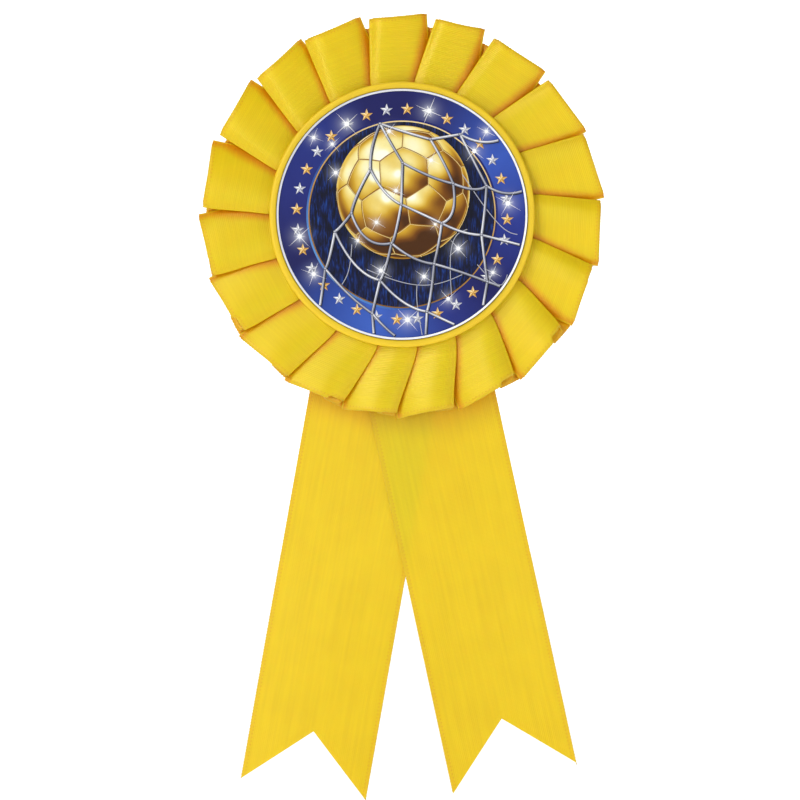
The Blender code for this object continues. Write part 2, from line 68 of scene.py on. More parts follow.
def addNode(tree, kind, links=None, out=0, stops=(), **settings):
    # adds a node with its settings, values and links, and gives the output that the next one needs
    node = tree.nodes.new(kind)
    for name, value in settings.items():
        setattr(node, name, value)
    for name, value in (links or {}).items():
        if isinstance(value, bpy.types.NodeSocket):
            tree.links.new(value, node.inputs[name])
        else:
            node.inputs[name].default_value = value
    if stops:  # a ramp's (place, hex colour) pairs
        elements = node.color_ramp.elements
        while len(elements) > 1:
            elements.remove(elements[-1])
        elements[0].position, elements[0].color = stops[0][0], hexColour(stops[0][1])
        for place, code in stops[1:]:
            elements.new(place).color = hexColour(code)
    return node.outputs[out]


def newMaterial(name, **constants):  # a Principled material; constants go straight on the shader's sockets
    material = bpy.data.materials.new(name)
    material.use_nodes = True
    tree = material.node_tree
    shader = tree.nodes["Principled BSDF"]
    for socket, value in constants.items():
        shader.inputs[socket.replace("_", " ")].default_value = value
    return material, tree, shader


def meshPiece(name, verts, faces, material=None, smooth=True, **attributes):
    mesh = bpy.data.meshes.new(name)
    mesh.from_pydata([tuple(v) for v in verts], [], [tuple(f) for f in faces])
    for key, values in attributes.items():
        values = np.asarray(values, np.float32)
        if values.ndim == 2:
            mesh.attributes.new(key, "FLOAT_COLOR", "POINT").data.foreach_set("color", values.ravel())
        else:
            mesh.attributes.new(key, "FLOAT", "POINT").data.foreach_set("value", values)
    mesh.update()
    obj = bpy.data.objects.new(name, mesh)
    bpy.context.scene.collection.objects.link(obj)
    if material:
        mesh.materials.append(material)
    if smooth:
        mesh.shade_smooth()
        mesh.set_sharp_from_angle(angle=math.radians(38))
    return obj


def baked(obj, name=None):  # the modifiers' result as a plain mesh, in the same object
    mesh = bpy.data.meshes.new_from_object(obj.evaluated_get(bpy.context.evaluated_depsgraph_get()))
    old = obj.data
    obj.modifiers.clear()
    obj.data = mesh
    bpy.data.meshes.remove(old)
    if name:
        obj.name = name
    mesh.name = obj.name
    return obj


def gridFaces(rows, columns, closed=False):  # quads of a grid stored row by row
    last = columns if closed else columns - 1
    faces = []
    for r in range(rows - 1):
        for c in range(last):
            after = (c + 1) % columns
            here, above = r * columns, (r + 1) * columns
            faces.append((here + c, here + after, above + after, above + c))
    return faces


def orient(obj):  # closed shape: normals out
    work = bmesh.new()
    work.from_mesh(obj.data)
    bmesh.ops.remove_doubles(work, verts=work.verts, dist=1e-7)
    bmesh.ops.recalc_face_normals(work, faces=work.faces)
    work.to_mesh(obj.data)
    work.free()
    return obj


def faceFront(obj):  # open cloth and flat print: every face towards the front
    work = bmesh.new()
    work.from_mesh(obj.data)
    for face in work.faces:
        if face.normal.y > 0:
            face.normal_flip()
    work.to_mesh(obj.data)
    work.free()
    return obj


def turnedPiece(name, profile, segments, material):  # (radius, depth) points round the centre axis, closed
    verts = []
    for radius, depth in profile:
        for s in range(segments):
            a = 2 * math.pi * s / segments
            verts.append(toWorld(radius * math.sin(a), radius * math.cos(a), depth))
    faces = gridFaces(len(profile), segments, closed=True)
    if profile[0] != profile[-1]:
        faces += [tuple(range(first, first + segments)) for first in (0, len(verts) - segments)]
    piece = orient(meshPiece(name, verts, faces, material))
    piece.data.shade_smooth()
    piece.data.set_sharp_from_angle(angle=math.radians(38))
    return piece


def newTree(name, sizes):  # a Geometry Nodes tree with a geometry in, a geometry out and named inputs
    tree = bpy.data.node_groups.new(name, "GeometryNodeTree")
    tree.interface.new_socket("Geometry", in_out="OUTPUT", socket_type="NodeSocketGeometry")
    tree.interface.new_socket("Geometry", in_out="INPUT", socket_type="NodeSocketGeometry")
    for label, kind in sizes.items():
        tree.interface.new_socket(label, in_out="INPUT", socket_type="NodeSocket" + kind)
    return tree, tree.nodes.new("NodeGroupInput"), tree.nodes.new("NodeGroupOutput")


def useTree(obj, tree, **values):  # inputs set by identifier, before the object is first evaluated
    modifier = obj.modifiers.new(tree.name, "NODES")
    modifier.node_group = tree
    ids = {s.name: s.identifier for s in tree.interface.items_tree if s.in_out == "INPUT"}
    for label, value in values.items():
        modifier[ids[label]] = value
    return modifier


def smoothStep(low, high, x):
    t = np.clip((np.asarray(x, float) - low) / (high - low), 0, 1)
    return t * t * (3 - 2 * t)


def depthOf(node):  # nearest and furthest depth of a CAD node in front of the rear cover, in mm
    low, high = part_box(node)
    return labelFace - high[1] / mm, labelFace - low[1] / mm


cameraSettings = {"lens": 200.0, "frameWidth": 160.0, "centreX": -0.4, "centreZ": -37.0, "plane": 8.0}


def makeCamera(c):
    data = bpy.data.cameras.new("studioCamera")
    data.lens, data.sensor_width = c["lens"], 36.0
    data.clip_start, data.clip_end = 0.05, 20
    camera = bpy.data.objects.new("studioCamera", data)
    distance = c["frameWidth"] * c["lens"] / 36.0
    camera.location = toWorld(c["centreX"], c["centreZ"], c["plane"] + distance)
    camera.rotation_euler = (math.pi / 2, 0, 0)
    bpy.context.scene.collection.objects.link(camera)
    bpy.context.scene.camera = camera


makeCamera(cameraSettings)
print("camera set")


satinColours = {
    "bright": "#E5C90E", "mid": "#DDC00C", "fold": "#C9821C", "selvage": "#DDB718",
    "ribSpacing": 0.36,  # warp threads lie 0.1 mm apart, drawn this coarse so that they show
    "selvageWidth": 0.9, "dotSpacing": 0.75,
}


def polyesterSatin(c):
    # woven polyester satin ribbon: long smooth floats give a broad soft streak on every bend
    material, tree, shader = newMaterial(
        "polyesterSatinRibbon", Anisotropic=0.35, Specular_IOR_Level=0.95,
        Sheen_Weight=0.03, Sheen_Roughness=0.35,
        # light leaks amber through the folds
        Subsurface_Weight=0.27, Subsurface_Radius=(1.0, 0.42, 0.06), Subsurface_Scale=0.0009,
    )
    shader.inputs["Specular Tint"].default_value = hexColour("#FFEA96")  # dyed cloth has a warm gloss
    shader.inputs["Sheen Tint"].default_value = hexColour("#FFF3B0")
    across = addNode(tree, "ShaderNodeAttribute", attribute_name="acrossRibbon", out="Fac")
    along = addNode(tree, "ShaderNodeAttribute", attribute_name="alongRibbon", out="Fac")
    fromEdge = addNode(tree, "ShaderNodeAttribute", attribute_name="fromEdge", out="Fac")
    foldShade = addNode(tree, "ShaderNodeAttribute", attribute_name="foldShade", out="Fac")

    place = addNode(tree, "ShaderNodeCombineXYZ", {0: across, 1: along})
    broad = addNode(tree, "ShaderNodeTexNoise", {"Vector": place, "Scale": 0.11, "Detail": 2.0})
    streaky = addNode(tree, "ShaderNodeMapping", {"Vector": place, "Scale": (1.6, 0.05, 1.0)})
    threads = addNode(tree, "ShaderNodeTexNoise", {"Vector": streaky, "Scale": 1.0, "Detail": 3.0})
    tone = addNode(tree, "ShaderNodeMath", {0: threads, 1: 0.6}, operation="MULTIPLY")
    tone = addNode(tree, "ShaderNodeMath", {0: broad, 1: 0.4, 2: tone}, operation="MULTIPLY_ADD")
    colour = addNode(tree, "ShaderNodeValToRGB", {"Fac": tone}, stops=[
        (0.36, c["mid"]), (0.62, c["bright"])])

    # woven edge: a plain-weave band with a dotted line where the satin floats begin
    band = addNode(tree, "ShaderNodeMapRange", {
        "Value": fromEdge, "From Min": c["selvageWidth"] * 0.55, "From Max": c["selvageWidth"],
        "To Min": 0.55, "To Max": 0.0}, interpolation_type="SMOOTHSTEP")
    colour = addNode(tree, "ShaderNodeMix", {"Factor": band, 6: colour, 7: hexColour(c["selvage"])},
                     data_type="RGBA", out=2)
    turns = 2 * math.pi / c["dotSpacing"]
    wave = addNode(tree, "ShaderNodeMath", {0: along, 1: turns}, operation="MULTIPLY")
    wave = addNode(tree, "ShaderNodeMath", {0: wave}, operation="SINE")
    offLine = addNode(tree, "ShaderNodeMath", {0: fromEdge, 1: c["selvageWidth"] * 0.8}, operation="SUBTRACT")
    nearLine = addNode(tree, "ShaderNodeMath", {0: offLine}, operation="ABSOLUTE")
    onLine = addNode(tree, "ShaderNodeMapRange", {
        "Value": nearLine, "From Min": 0.05, "From Max": 0.22, "To Min": 1.0, "To Max": 0.0})
    dots = addNode(tree, "ShaderNodeMath", {0: wave, 1: onLine}, operation="MULTIPLY", use_clamp=True)
    dotted = addNode(tree, "ShaderNodeMath", {0: dots, 1: 0.4}, operation="MULTIPLY")
    colour = addNode(tree, "ShaderNodeMix", {"Factor": dotted, 6: colour, 7: hexColour(c["fold"])},
                     data_type="RGBA", out=2)

    # painted shade: the foldShade attribute tints the cloth amber in its folds and on the layers behind,
    # standing in for shade and for light that has passed through and between layers
    shade = addNode(tree, "ShaderNodeValToRGB", {"Fac": foldShade}, stops=[
        (0.0, "#FFFFFF"), (0.4, "#FBDDA2"), (0.75, "#F3B86E"), (1.0, "#E0964A")])
    colour = addNode(tree, "ShaderNodeMix", {"Factor": 1.0, 6: colour, 7: shade},
                     data_type="RGBA", blend_type="MULTIPLY", out=2)
    tree.links.new(colour, shader.inputs["Base Color"])

    turns = 2 * math.pi / c["ribSpacing"]
    ribs = addNode(tree, "ShaderNodeMath", {0: across, 1: turns}, operation="MULTIPLY")
    ribs = addNode(tree, "ShaderNodeMath", {0: ribs}, operation="SINE")
    height = addNode(tree, "ShaderNodeMath", {0: threads, 1: 2.2, 2: ribs}, operation="MULTIPLY_ADD")
    height = addNode(tree, "ShaderNodeMath", {0: dots, 1: 1.2, 2: height}, operation="MULTIPLY_ADD")
    bump = addNode(tree, "ShaderNodeBump", {"Height": height, "Strength": 0.18, "Distance": 0.00008})
    tree.links.new(bump, shader.inputs["Normal"])
    rough = addNode(tree, "ShaderNodeMapRange", {"Value": threads, "To Min": 0.25, "To Max": 0.35})
    tree.links.new(rough, shader.inputs["Roughness"])
    return material


satin = polyesterSatin(satinColours)


def polyesterThread(c):
    # overlocked polyester thread at the ribbon's edge: matt, each loop a little darker than the satin
    material, tree, shader = newMaterial("polyesterEdgeThread", Roughness=0.6, Sheen_Weight=0.2)
    place = addNode(tree, "ShaderNodeTexCoord", out="Object")
    fibres = addNode(tree, "ShaderNodeTexNoise", {"Vector": place, "Scale": 2500.0, "Detail": 2.0})
    colour = addNode(tree, "ShaderNodeValToRGB", {"Fac": fibres}, stops=[
        (0.3, "#D2B01F"), (0.7, c["bright"])])
    tree.links.new(colour, shader.inputs["Base Color"])
    return material


thread = polyesterThread(satinColours)


pleats = {
    "count": 19, "rimRadius": 40.3, "ribbonWidth": 25.0, "clothPerPleat": 26.4, "panelWidth": 12.0,
    "panelOverlap": 2.9, "thickness": 0.24,
    # layers lie this far apart; every front panel arches up, more at the rim; folds in layer steps
    "layerStep": 0.55, "archInner": 0.25, "archRim": 1.15, "foldLevels": 0.6, "foldRoll": 0.85,
    "foldRollEnd": 0.38,
    # how far the rim's line is inside the radius, lifts at one corner, hollows and rounds off
    "rimInset": 0.6, "underInset": 2.7, "cornerLift": 0.42, "hollow": 0.15, "roundCorner": 0.15,
    "wrinkle": 0.64, "wrinkleSize": 14.0,
    # left and right edge of every front panel at the rim, in degrees clockwise from the top
    "edges": [
        (-8.8, 6.5), (10.5, 23.6), (28.3, 44.5), (48.0, 65.0), (66.7, 84.5), (86.5, 104.0), (105.5, 122.5),
        (125.6, 143.7), (145.4, 163.2), (165.5, 181.0), (182.2, 196.8), (198.0, 215.0), (216.0, 233.0),
        (234.5, 251.5), (253.0, 269.8), (273.0, 291.2), (294.5, 311.5), (314.0, 329.7), (331.5, 347.6)],
    # how far the cloth under each gap comes out towards the rim; it stays back between the upper panels
    "fill": [0, 0, 0, 0, 0.1, 0.3, 0.85, 0.85, 0.8, 0.8, 0.85, 0.8, 0.85, 0.7, 0.4, 0.1, 0, 0, 0],
    # how far the left corner of each panel is curled back from the rim, in mm
    "curled": [0, 0, 0, 0, 0, 0, 0.2, 1.1, 0.9, 0, 0.3, 0.8, 0.2, 0.8, 0.3, 0, 0, 0, 0],
}


def pleatPitch(reach):
    return 2 * reach * math.tan(math.pi / pleats["count"])


def onePleat(p):  # the cloth of one pleat at the top of the ring, with what fits it in its place
    base = depthOf("pleated_ribbon")[0] + 0.15
    rows = [*np.linspace(0, 0.36, 5), *np.linspace(0.36, 0.9, 11)[1:], *np.linspace(0.9, 1, 5)[1:]]
    inner = p["rimRadius"] - p["ribbonWidth"]
    verts, keys = [], {k: [] for k in (
        "acrossRibbon", "alongRibbon", "fromEdge", "foldShade", "rightShare", "nextShare", "towardsRim",
        "under", "corner", "nextCorner")}
    columns = 0
    for f in rows:
        reach = inner + f * p["ribbonWidth"]
        pitch = pleatPitch(reach)
        half = min(p["panelWidth"], pitch + p["panelOverlap"]) / 2
        tuck = min((p["clothPerPleat"] - pitch) / 4, 1.33 * half)
        bulge = p["layerStep"] / 2
        overFold = min(max(half - pitch, 0.35 * tuck - half), 0.65 * tuck - half)
        towardsRim = float(smoothStep(0.35, 1.0, f))
        arch = (p["archInner"] + (p["archRim"] - p["archInner"]) * towardsRim) / p["layerStep"]
        path = []  # panel, across, level, stage of the path, share along the stage
        for a in (-60, -30, 0, 30, 60):
            r = math.radians(a)
            level = 6 + p["foldLevels"] * (0.5 + 0.5 * math.sin(r))
            path.append((0, -half - bulge * math.cos(r), level, "left", 0.5 + r / math.pi))
        for i in range(31):
            t = -1 + 2 * i / 30
            t = math.sin(t * math.pi / 2) * 0.35 + t * 0.65  # closer together near the folds
            # the cloth rolls over softly at the fold
            rolled = p["foldRoll"] * max(0.0, 1 - (t + 1) / p["foldRollEnd"]) ** 2
            rolled -= (p["foldRoll"] + p["foldLevels"] - 1) * (1 - float(smoothStep(-0.5, 0.3, t)))
            path.append((0, t * half, 5.5 - 1.5 * t + arch * (1 - t * t) - rolled, "front", (t + 1) / 2))
        for a in (60, 30, 0, -30, -60):
            r = math.radians(a)
            path.append((0, half + bulge * math.cos(r), 3.5 + 0.5 * math.sin(r), "right", 0.5 - r / math.pi))
        legs = [  # the folded cloth behind: start, stop, points, share of the stage at both
            ((0, half, 3), (0, half - tuck, 1), 5, 0.1, 0.35),
            ((0, half - tuck - bulge, 0.5), None, 1, 0.4, 0.4),
            ((0, half - tuck, 0), (0, half, 2), 5, 0.45, 0.55),
            ((1, tuck - half - 2.0 * (tuck > 3), 2.7), None, 1, 0.6, 0.6),
            ((1, tuck - half, 3), None, 1, 0.65, 0.65),
            ((1, tuck - half + bulge, 3.5), None, 1, 0.7, 0.7),
            ((1, tuck - half, 4), (1, overFold, 5), 4, 0.75, 0.85),
            ((1, overFold - 0.2 * tuck, 5.35), (1, -half, 6), 4, 0.88, 1.0),
        ]
        for start, stop, count, s0, s1 in legs:
            for i in range(count):
                w = i / max(count - 1, 1)
                point = start if stop is None else tuple(a + (b - a) * w for a, b in zip(start, stop))
                path.append((start[0], point[1], point[2], "under", s0 + (s1 - s0) * w))
        r = math.radians(60)  # the next pleat's first column, so that merging closes the ring
        level = 6 + p["foldLevels"] * (0.5 - 0.5 * math.sin(r))
        path.append((1, -half - bulge * math.cos(r), level, "under", 1.0))
        columns = len(path)
        run = 0.0
        before = None
        nextEdge = pitch - half  # where the next panel's fold lies over this one
        leftEdge = -p["rimInset"] - p["cornerLift"] + p["hollow"] - p["roundCorner"]
        rightEdge = -p["rimInset"] + p["cornerLift"] + p["hollow"] - p["roundCorner"]
        nearRim = float(smoothStep(0.86, 1.0, f))
        for panel, across, level, stage, share in path:
            t = max(-1.0, min(1.0, across / half))
            under = corner = nextCorner = 0.0
            if stage == "front":
                edge = -p["rimInset"] + p["cornerLift"] * t + p["hollow"] * t * t
                edge -= p["roundCorner"] * float(smoothStep(0.84, 1.0, abs(t))) ** 2
                corner = 1 - float(smoothStep(-0.58, -0.46, t))
                # painted shade: the front panel darkens to amber where the next panel's fold lies over it, a
                # little towards both its sides, and most at its right end under the next fold
                underFold = float(smoothStep(nextEdge - 2.5, nextEdge - 0.4, across))
                shade = max(
                    0.95 * underFold * (1 - 0.2 * towardsRim),
                    0.10 * float(smoothStep(0.55, 1.0, abs(t))), 0.62 * float(smoothStep(0.76, 0.98, t)))
                rightShare, nextShare = share, 0.0
            # painted shade on the underside of the left fold, on the right fold and on the layers behind
            elif stage == "left":
                edge, shade, rightShare, nextShare, corner = leftEdge, 0.35 * (1 - share), 0.0, 0.0, 1.0
            elif stage == "right":
                edge, shade, rightShare, nextShare = rightEdge, 0.1 + 0.25 * share, 1.0, 0.0
            else:
                inset = max(0.0, math.sin(math.pi * share)) ** 0.6 if share < 1 else 0.0
                under, nextCorner = inset, float(smoothStep(0.8, 1.0, share))
                edge = (rightEdge * (1 - share) + leftEdge * share) * (1 - inset) - p["underInset"] * inset
                shade = 0.38
                rightShare, nextShare = 1 - share, share
            stretch = inner + f * (p["rimRadius"] + edge - inner)
            turn = 2 * math.pi / p["count"] * panel
            x = stretch * math.sin(turn) + across * math.cos(turn)
            z = stretch * math.cos(turn) - across * math.sin(turn)
            here = Vector((x, level * p["layerStep"], z))
            run += (here - before).length if before else 0.0
            before = here
            verts.append(toWorld(x, z, base + level * p["layerStep"]))
            for key, value in zip(keys, (f * p["ribbonWidth"], run, min(f, 1 - f) * p["ribbonWidth"],
                                         shade, rightShare, nextShare, towardsRim, under * f,
                                         corner * nearRim, nextCorner * nearRim)):
                keys[key].append(value)
    obj = meshPiece("onePleat", verts, gridFaces(len(rows), columns), **keys)
    obj.hide_render = True
    return obj


def pleatRingTree():  # one pleat on each point, turned into place and drawn out to that pleat's own edges
    tree, start, end = newTree("pleatRing", {
        "Pleat": "Object", "Under inset": "Float", "Wrinkle": "Float", "Wrinkle size": "Float",
        "Seed": "Float", "Satin": "Material"})
    pleat = addNode(tree, "GeometryNodeObjectInfo", {"Object": start.outputs["Pleat"]}, out="Geometry")
    spin = addNode(tree, "GeometryNodeInputNamedAttribute", {"Name": "spin"}, data_type="FLOAT")
    turn = addNode(tree, "ShaderNodeCombineXYZ", {"Y": spin})
    placed = addNode(tree, "GeometryNodeInstanceOnPoints", {
        "Points": start.outputs["Geometry"], "Instance": pleat, "Rotation": turn})
    cloth = addNode(tree, "GeometryNodeRealizeInstances", {0: placed})

    def attribute(name):
        return addNode(tree, "GeometryNodeInputNamedAttribute", {"Name": name}, data_type="FLOAT")

    def mixed(where):  # this panel's left edge, its right edge and the next one's left edge
        right, following = attribute("rightShare"), attribute("nextShare")
        both = addNode(tree, "ShaderNodeMath", {0: right, 1: following}, operation="ADD")
        total = addNode(tree, "ShaderNodeMath", {0: 1.0, 1: both}, operation="SUBTRACT")
        left = attribute(where + "Left")
        total = addNode(tree, "ShaderNodeMath", {0: total, 1: left}, operation="MULTIPLY")
        for share, edge in ((right, "Right"), (following, "Next")):
            total = addNode(tree, "ShaderNodeMath", {0: share, 1: attribute(where + edge), 2: total},
                            operation="MULTIPLY_ADD")
        return total

    towardsRim = attribute("towardsRim")
    rim = addNode(tree, "ShaderNodeMath", {0: mixed("rim"), 1: towardsRim}, operation="MULTIPLY")
    inwards = addNode(tree, "ShaderNodeMath", {0: 1.0, 1: towardsRim}, operation="SUBTRACT")
    angle = addNode(tree, "ShaderNodeMath", {0: mixed("inner"), 1: inwards, 2: rim}, operation="MULTIPLY_ADD")
    position = addNode(tree, "GeometryNodeInputPosition")
    turned = addNode(tree, "ShaderNodeVectorRotate", {
        "Vector": position, "Axis": (0, 1, 0), "Angle": angle}, rotation_type="AXIS_ANGLE")
    cloth = addNode(tree, "GeometryNodeSetPosition", {"Geometry": cloth, "Position": turned})
    position = addNode(tree, "GeometryNodeInputPosition")
    outwards = addNode(tree, "ShaderNodeVectorMath", {0: position, 1: (1, 0, 1)}, operation="MULTIPLY")
    outwards = addNode(tree, "ShaderNodeVectorMath", {0: outwards}, operation="NORMALIZE")
    reach = start.outputs["Under inset"]
    for share in ("under", "fill"):
        reach = addNode(tree, "ShaderNodeMath", {0: reach, 1: attribute(share)}, operation="MULTIPLY")
    for share, curl in (("corner", "curled"), ("nextCorner", "nextCurled")):
        share, curl = attribute(share), attribute(curl)
        back = addNode(tree, "ShaderNodeMath", {0: share, 1: curl}, operation="MULTIPLY")
        reach = addNode(tree, "ShaderNodeMath", {0: reach, 1: back}, operation="SUBTRACT")
    drawnOut = addNode(tree, "ShaderNodeVectorMath", {0: outwards, "Scale": reach}, operation="SCALE")
    cloth = addNode(tree, "GeometryNodeSetPosition", {"Geometry": cloth, "Offset": drawnOut})
    cloth = addNode(tree, "GeometryNodeMergeByDistance", {"Geometry": cloth, "Distance": 0.00002})

    # slow waves that every layer at one place shares, so that layers never cross
    position = addNode(tree, "GeometryNodeInputPosition")
    flat = addNode(tree, "ShaderNodeVectorMath", {0: position, 1: (1, 0, 1)}, operation="MULTIPLY")
    scale = addNode(tree, "ShaderNodeMath", {0: 1.0, 1: start.outputs["Wrinkle size"]}, operation="DIVIDE")
    noise = addNode(tree, "ShaderNodeTexNoise", {
        "Vector": flat, "W": start.outputs["Seed"], "Scale": scale, "Detail": 2.0}, noise_dimensions="4D")
    lift = addNode(tree, "ShaderNodeMath", {0: noise, 1: 0.5}, operation="SUBTRACT")
    for factor in (start.outputs["Wrinkle"], towardsRim):
        lift = addNode(tree, "ShaderNodeMath", {0: lift, 1: factor}, operation="MULTIPLY")
    lifted = addNode(tree, "ShaderNodeCombineXYZ", {"Y": lift})
    away = addNode(tree, "ShaderNodeVectorMath", {0: flat}, operation="NORMALIZE")
    offset = addNode(tree, "ShaderNodeVectorMath", {0: away, 1: lift, 2: lifted}, operation="MULTIPLY_ADD")
    cloth = addNode(tree, "GeometryNodeSetPosition", {"Geometry": cloth, "Offset": offset})
    cloth = addNode(tree, "GeometryNodeSetMaterial", {"Geometry": cloth, "Material": start.outputs["Satin"]})
    tree.links.new(cloth, end.inputs[0])
    return tree


def pleatPlaces(p):  # one point for each pleat, with how far its edges are from the even ring's
    step = 360 / p["count"]
    even = math.degrees(math.atan2(p["panelWidth"] / 2, p["rimRadius"]))
    names = ["spin"] + [w + s for w in ("rim", "inner") for s in ("Left", "Right", "Next")]
    rows = {n: [] for n in names}

    def bend(angle):  # near the tails the folds start further back than an even ring's
        off = (angle - 203 + 180) % 360 - 180
        return -4.6 * math.exp(-(off / 34) ** 2)

    for k in range(p["count"]):
        left, right = p["edges"][k]
        after = p["edges"][(k + 1) % p["count"]][0] + (360 if k == p["count"] - 1 else 0)
        middle = k * step
        rows["spin"].append(math.radians(middle))
        rows["rimLeft"].append(math.radians(left - (middle - even)))
        rows["rimRight"].append(math.radians(right - (middle + even)))
        rows["rimNext"].append(math.radians(after - (middle + step - even)))
        rows["innerLeft"].append(math.radians(bend(middle - 12)))
        rows["innerRight"].append(math.radians(bend(middle + 7)))
        rows["innerNext"].append(math.radians(bend(middle + step - 12)))
    rows["curled"] = [c * mm for c in p["curled"]]
    rows["nextCurled"] = rows["curled"][1:] + rows["curled"][:1]
    return meshPiece("pleatPlaces", [(0, 0, 0)] * p["count"], [], fill=p["fill"], **rows)


def makePleats(p):
    source = onePleat(p)
    ring = pleatPlaces(p)
    useTree(ring, pleatRingTree(), Pleat=source, Wrinkle=p["wrinkle"] * mm, Seed=3.0, Satin=satin, **{
        "Under inset": p["underInset"] * mm, "Wrinkle size": p["wrinkleSize"] * mm})
    baked(ring, "pleatedSatin")
    orient(ring)
    rim = rimPath(ring, p["ribbonWidth"])
    wall = ring.modifiers.new("cloth", "SOLIDIFY")
    wall.thickness, wall.offset, wall.use_even_offset = p["thickness"] * mm, 0.0, False
    baked(ring)
    ring.data.shade_smooth()
    bpy.data.objects.remove(source)
    return ring, rim


def rimPath(ring, width):  # the ribbon's outer edge as points and edges
    across = np.empty(len(ring.data.vertices), np.float32)
    ring.data.attributes["acrossRibbon"].data.foreach_get("value", across)
    onRim = {int(i): n for n, i in enumerate(np.nonzero(across > width - 1e-3)[0])}
    points = [tuple(ring.data.vertices[i].co) for i in onRim]
    edges = [(onRim[e.vertices[0]], onRim[e.vertices[1]]) for e in ring.data.edges
             if e.vertices[0] in onRim and e.vertices[1] in onRim]
    return points, edges


pleatedSatin, pleatRim = makePleats(pleats)
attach(pleatedSatin, rosette)
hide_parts("pleated_ribbon")
print("pleats", len(pleatedSatin.data.polygons), "faces")


tails = {
    "width": 25.5, "above": 4.0, "thickness": 0.24,
    "hinge": 42.033, "bendFrom": -1.2, "bendTo": 4.5,  # down from the centre, and before and after the hinge
    "left": {"body": "left_tail_ribbon", "nodes": ("left_tail", "left_tail_top"),
             "tilt": -10.1, "offset": 0.65, "length": 117.2, "notch": 11.9, "skew": 0.0,
             "away": -1, "wave": 0.9, "phase": 0.4, "curl": 0.7},
    "right": {"body": "right_tail_ribbon", "nodes": ("right_tail", "right_tail_top"),
              "tilt": 12.3, "offset": -1.95, "length": 115.2, "notch": 12.2, "skew": 0.4,
              "away": 1, "wave": 1.0, "phase": 2.1, "curl": 0.8},
}


def tailPoint(t, across, down, depth):
    tilt = math.radians(t["tilt"])
    x = math.sin(tilt) * down + math.cos(tilt) * (t["offset"] + across)
    z = -math.cos(tilt) * down + math.sin(tilt) * (t["offset"] + across)
    return toWorld(x, z, depth)


def tailDepth(t, across, down):  # flat under the card, then slow waves away from the other tail
    free = float(smoothStep(46, 100, down))
    u = across / (tails["width"] / 2)
    wave = 0.5 + 0.5 * math.sin(down / 17.0 + t["phase"] + 0.5 * u)
    cup = t["curl"] * (u * u) * float(smoothStep(60, 115, down))
    return t["depth"] + t["away"] * (t["wave"] * free * wave + cup)


def makeTail(name, t):
    half = tails["width"] / 2
    columns = np.linspace(-1, 1, 35)
    rows = np.linspace(0, 1, 151)
    verts, keys = [], {k: [] for k in ("acrossRibbon", "alongRibbon", "fromEdge", "foldShade")}
    for s in rows:
        for u in columns:
            end = t["length"] - t["notch"] * (1 - abs(u)) - t["skew"] * u
            down = -tails["above"] + s * (end + tails["above"])
            verts.append(tailPoint(t, u * half, down, tailDepth(t, u * half, down)))
            # soft amber shade where the pleats stand over the tail
            shade = 0.55 * (1 - float(smoothStep(34, 45.5, math.hypot(verts[-1][0], verts[-1][2]) / mm)))
            for key, value in zip(keys, ((u + 1) * half, down + 10, (1 - abs(u)) * half, shade)):
                keys[key].append(value)
    tail = faceFront(meshPiece(name, verts, gridFaces(len(rows), len(columns)), satin, **keys))
    wall = tail.modifiers.new("cloth", "SOLIDIFY")
    wall.thickness, wall.offset = tails["thickness"] * mm, 0.0
    baked(tail)
    tail.data.shade_smooth()
    tail.data.set_sharp_from_angle(angle=math.radians(50))
    return tail


def blendTail(piece):
    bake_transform(piece)


for side in ("left", "right"):
    t = tails[side]
    t["depth"] = sum(depthOf(t["nodes"][1])) / 2
    piece = makeTail(side + "TailSatin", t)
    blendTail(piece)
    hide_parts(*t["nodes"])
print("tails hung")


selvage = {"pitch": 0.62, "length": 0.5, "width": 0.2}  # edge loops lie 0.3 mm apart, drawn twice as coarse


def selvageTree():  # a row of small thread loops along a line
    tree, start, end = newTree("selvageLoops", {
        "Pitch": "Float", "Loop length": "Float", "Loop width": "Float", "Thread": "Material"})
    curve = addNode(tree, "GeometryNodeMeshToCurve", {0: start.outputs["Geometry"]})
    resampled = addNode(tree, "GeometryNodeResampleCurve", {
        "Curve": curve, "Length": start.outputs["Pitch"]}, mode="LENGTH")
    loop = addNode(tree, "GeometryNodeMeshUVSphere", {"Segments": 6, "Rings": 4, "Radius": 0.5}, out="Mesh")
    wide, long = start.outputs["Loop width"], start.outputs["Loop length"]
    size = addNode(tree, "ShaderNodeCombineXYZ", {"X": wide, "Y": wide, "Z": long})
    tangent = addNode(tree, "GeometryNodeInputTangent")
    facing = addNode(tree, "FunctionNodeAlignEulerToVector", {"Vector": tangent}, axis="Z")
    placed = addNode(tree, "GeometryNodeInstanceOnPoints", {
        "Points": resampled, "Instance": loop, "Rotation": facing, "Scale": size})
    made = addNode(tree, "GeometryNodeRealizeInstances", {0: placed})
    made = addNode(tree, "GeometryNodeSetShadeSmooth", {0: made})
    made = addNode(tree, "GeometryNodeSetMaterial", {"Geometry": made, "Material": start.outputs["Thread"]})
    tree.links.new(made, end.inputs[0])
    return tree


loopTree = selvageTree()


def loopsAlong(name, verts, edges):
    obj = meshPiece(name, verts, [])
    obj.data.clear_geometry()
    obj.data.from_pydata(verts, edges, [])
    useTree(obj, loopTree, Pitch=selvage["pitch"] * mm, Thread=thread, **{
        "Loop length": selvage["length"] * mm, "Loop width": selvage["width"] * mm})
    return baked(obj)


for side in ("left", "right"):
    t = tails[side]
    verts, edges = [], []
    for u in (-1, 1):
        across = u * (tails["width"] / 2)
        downs = np.linspace(-tails["above"] + 0.3, t["length"] - 0.2, 240)
        edges += [(len(verts) + i, len(verts) + i + 1) for i in range(len(downs) - 1)]
        verts += [tailPoint(t, across, d, tailDepth(t, across, d)) for d in downs]
    loops = loopsAlong(side + "TailEdgeLoops", verts, edges)
    blendTail(loops)


pleatLoops = loopsAlong("pleatEdgeLoops", *pleatRim)
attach(pleatLoops, rosette)
print("selvage sewn")


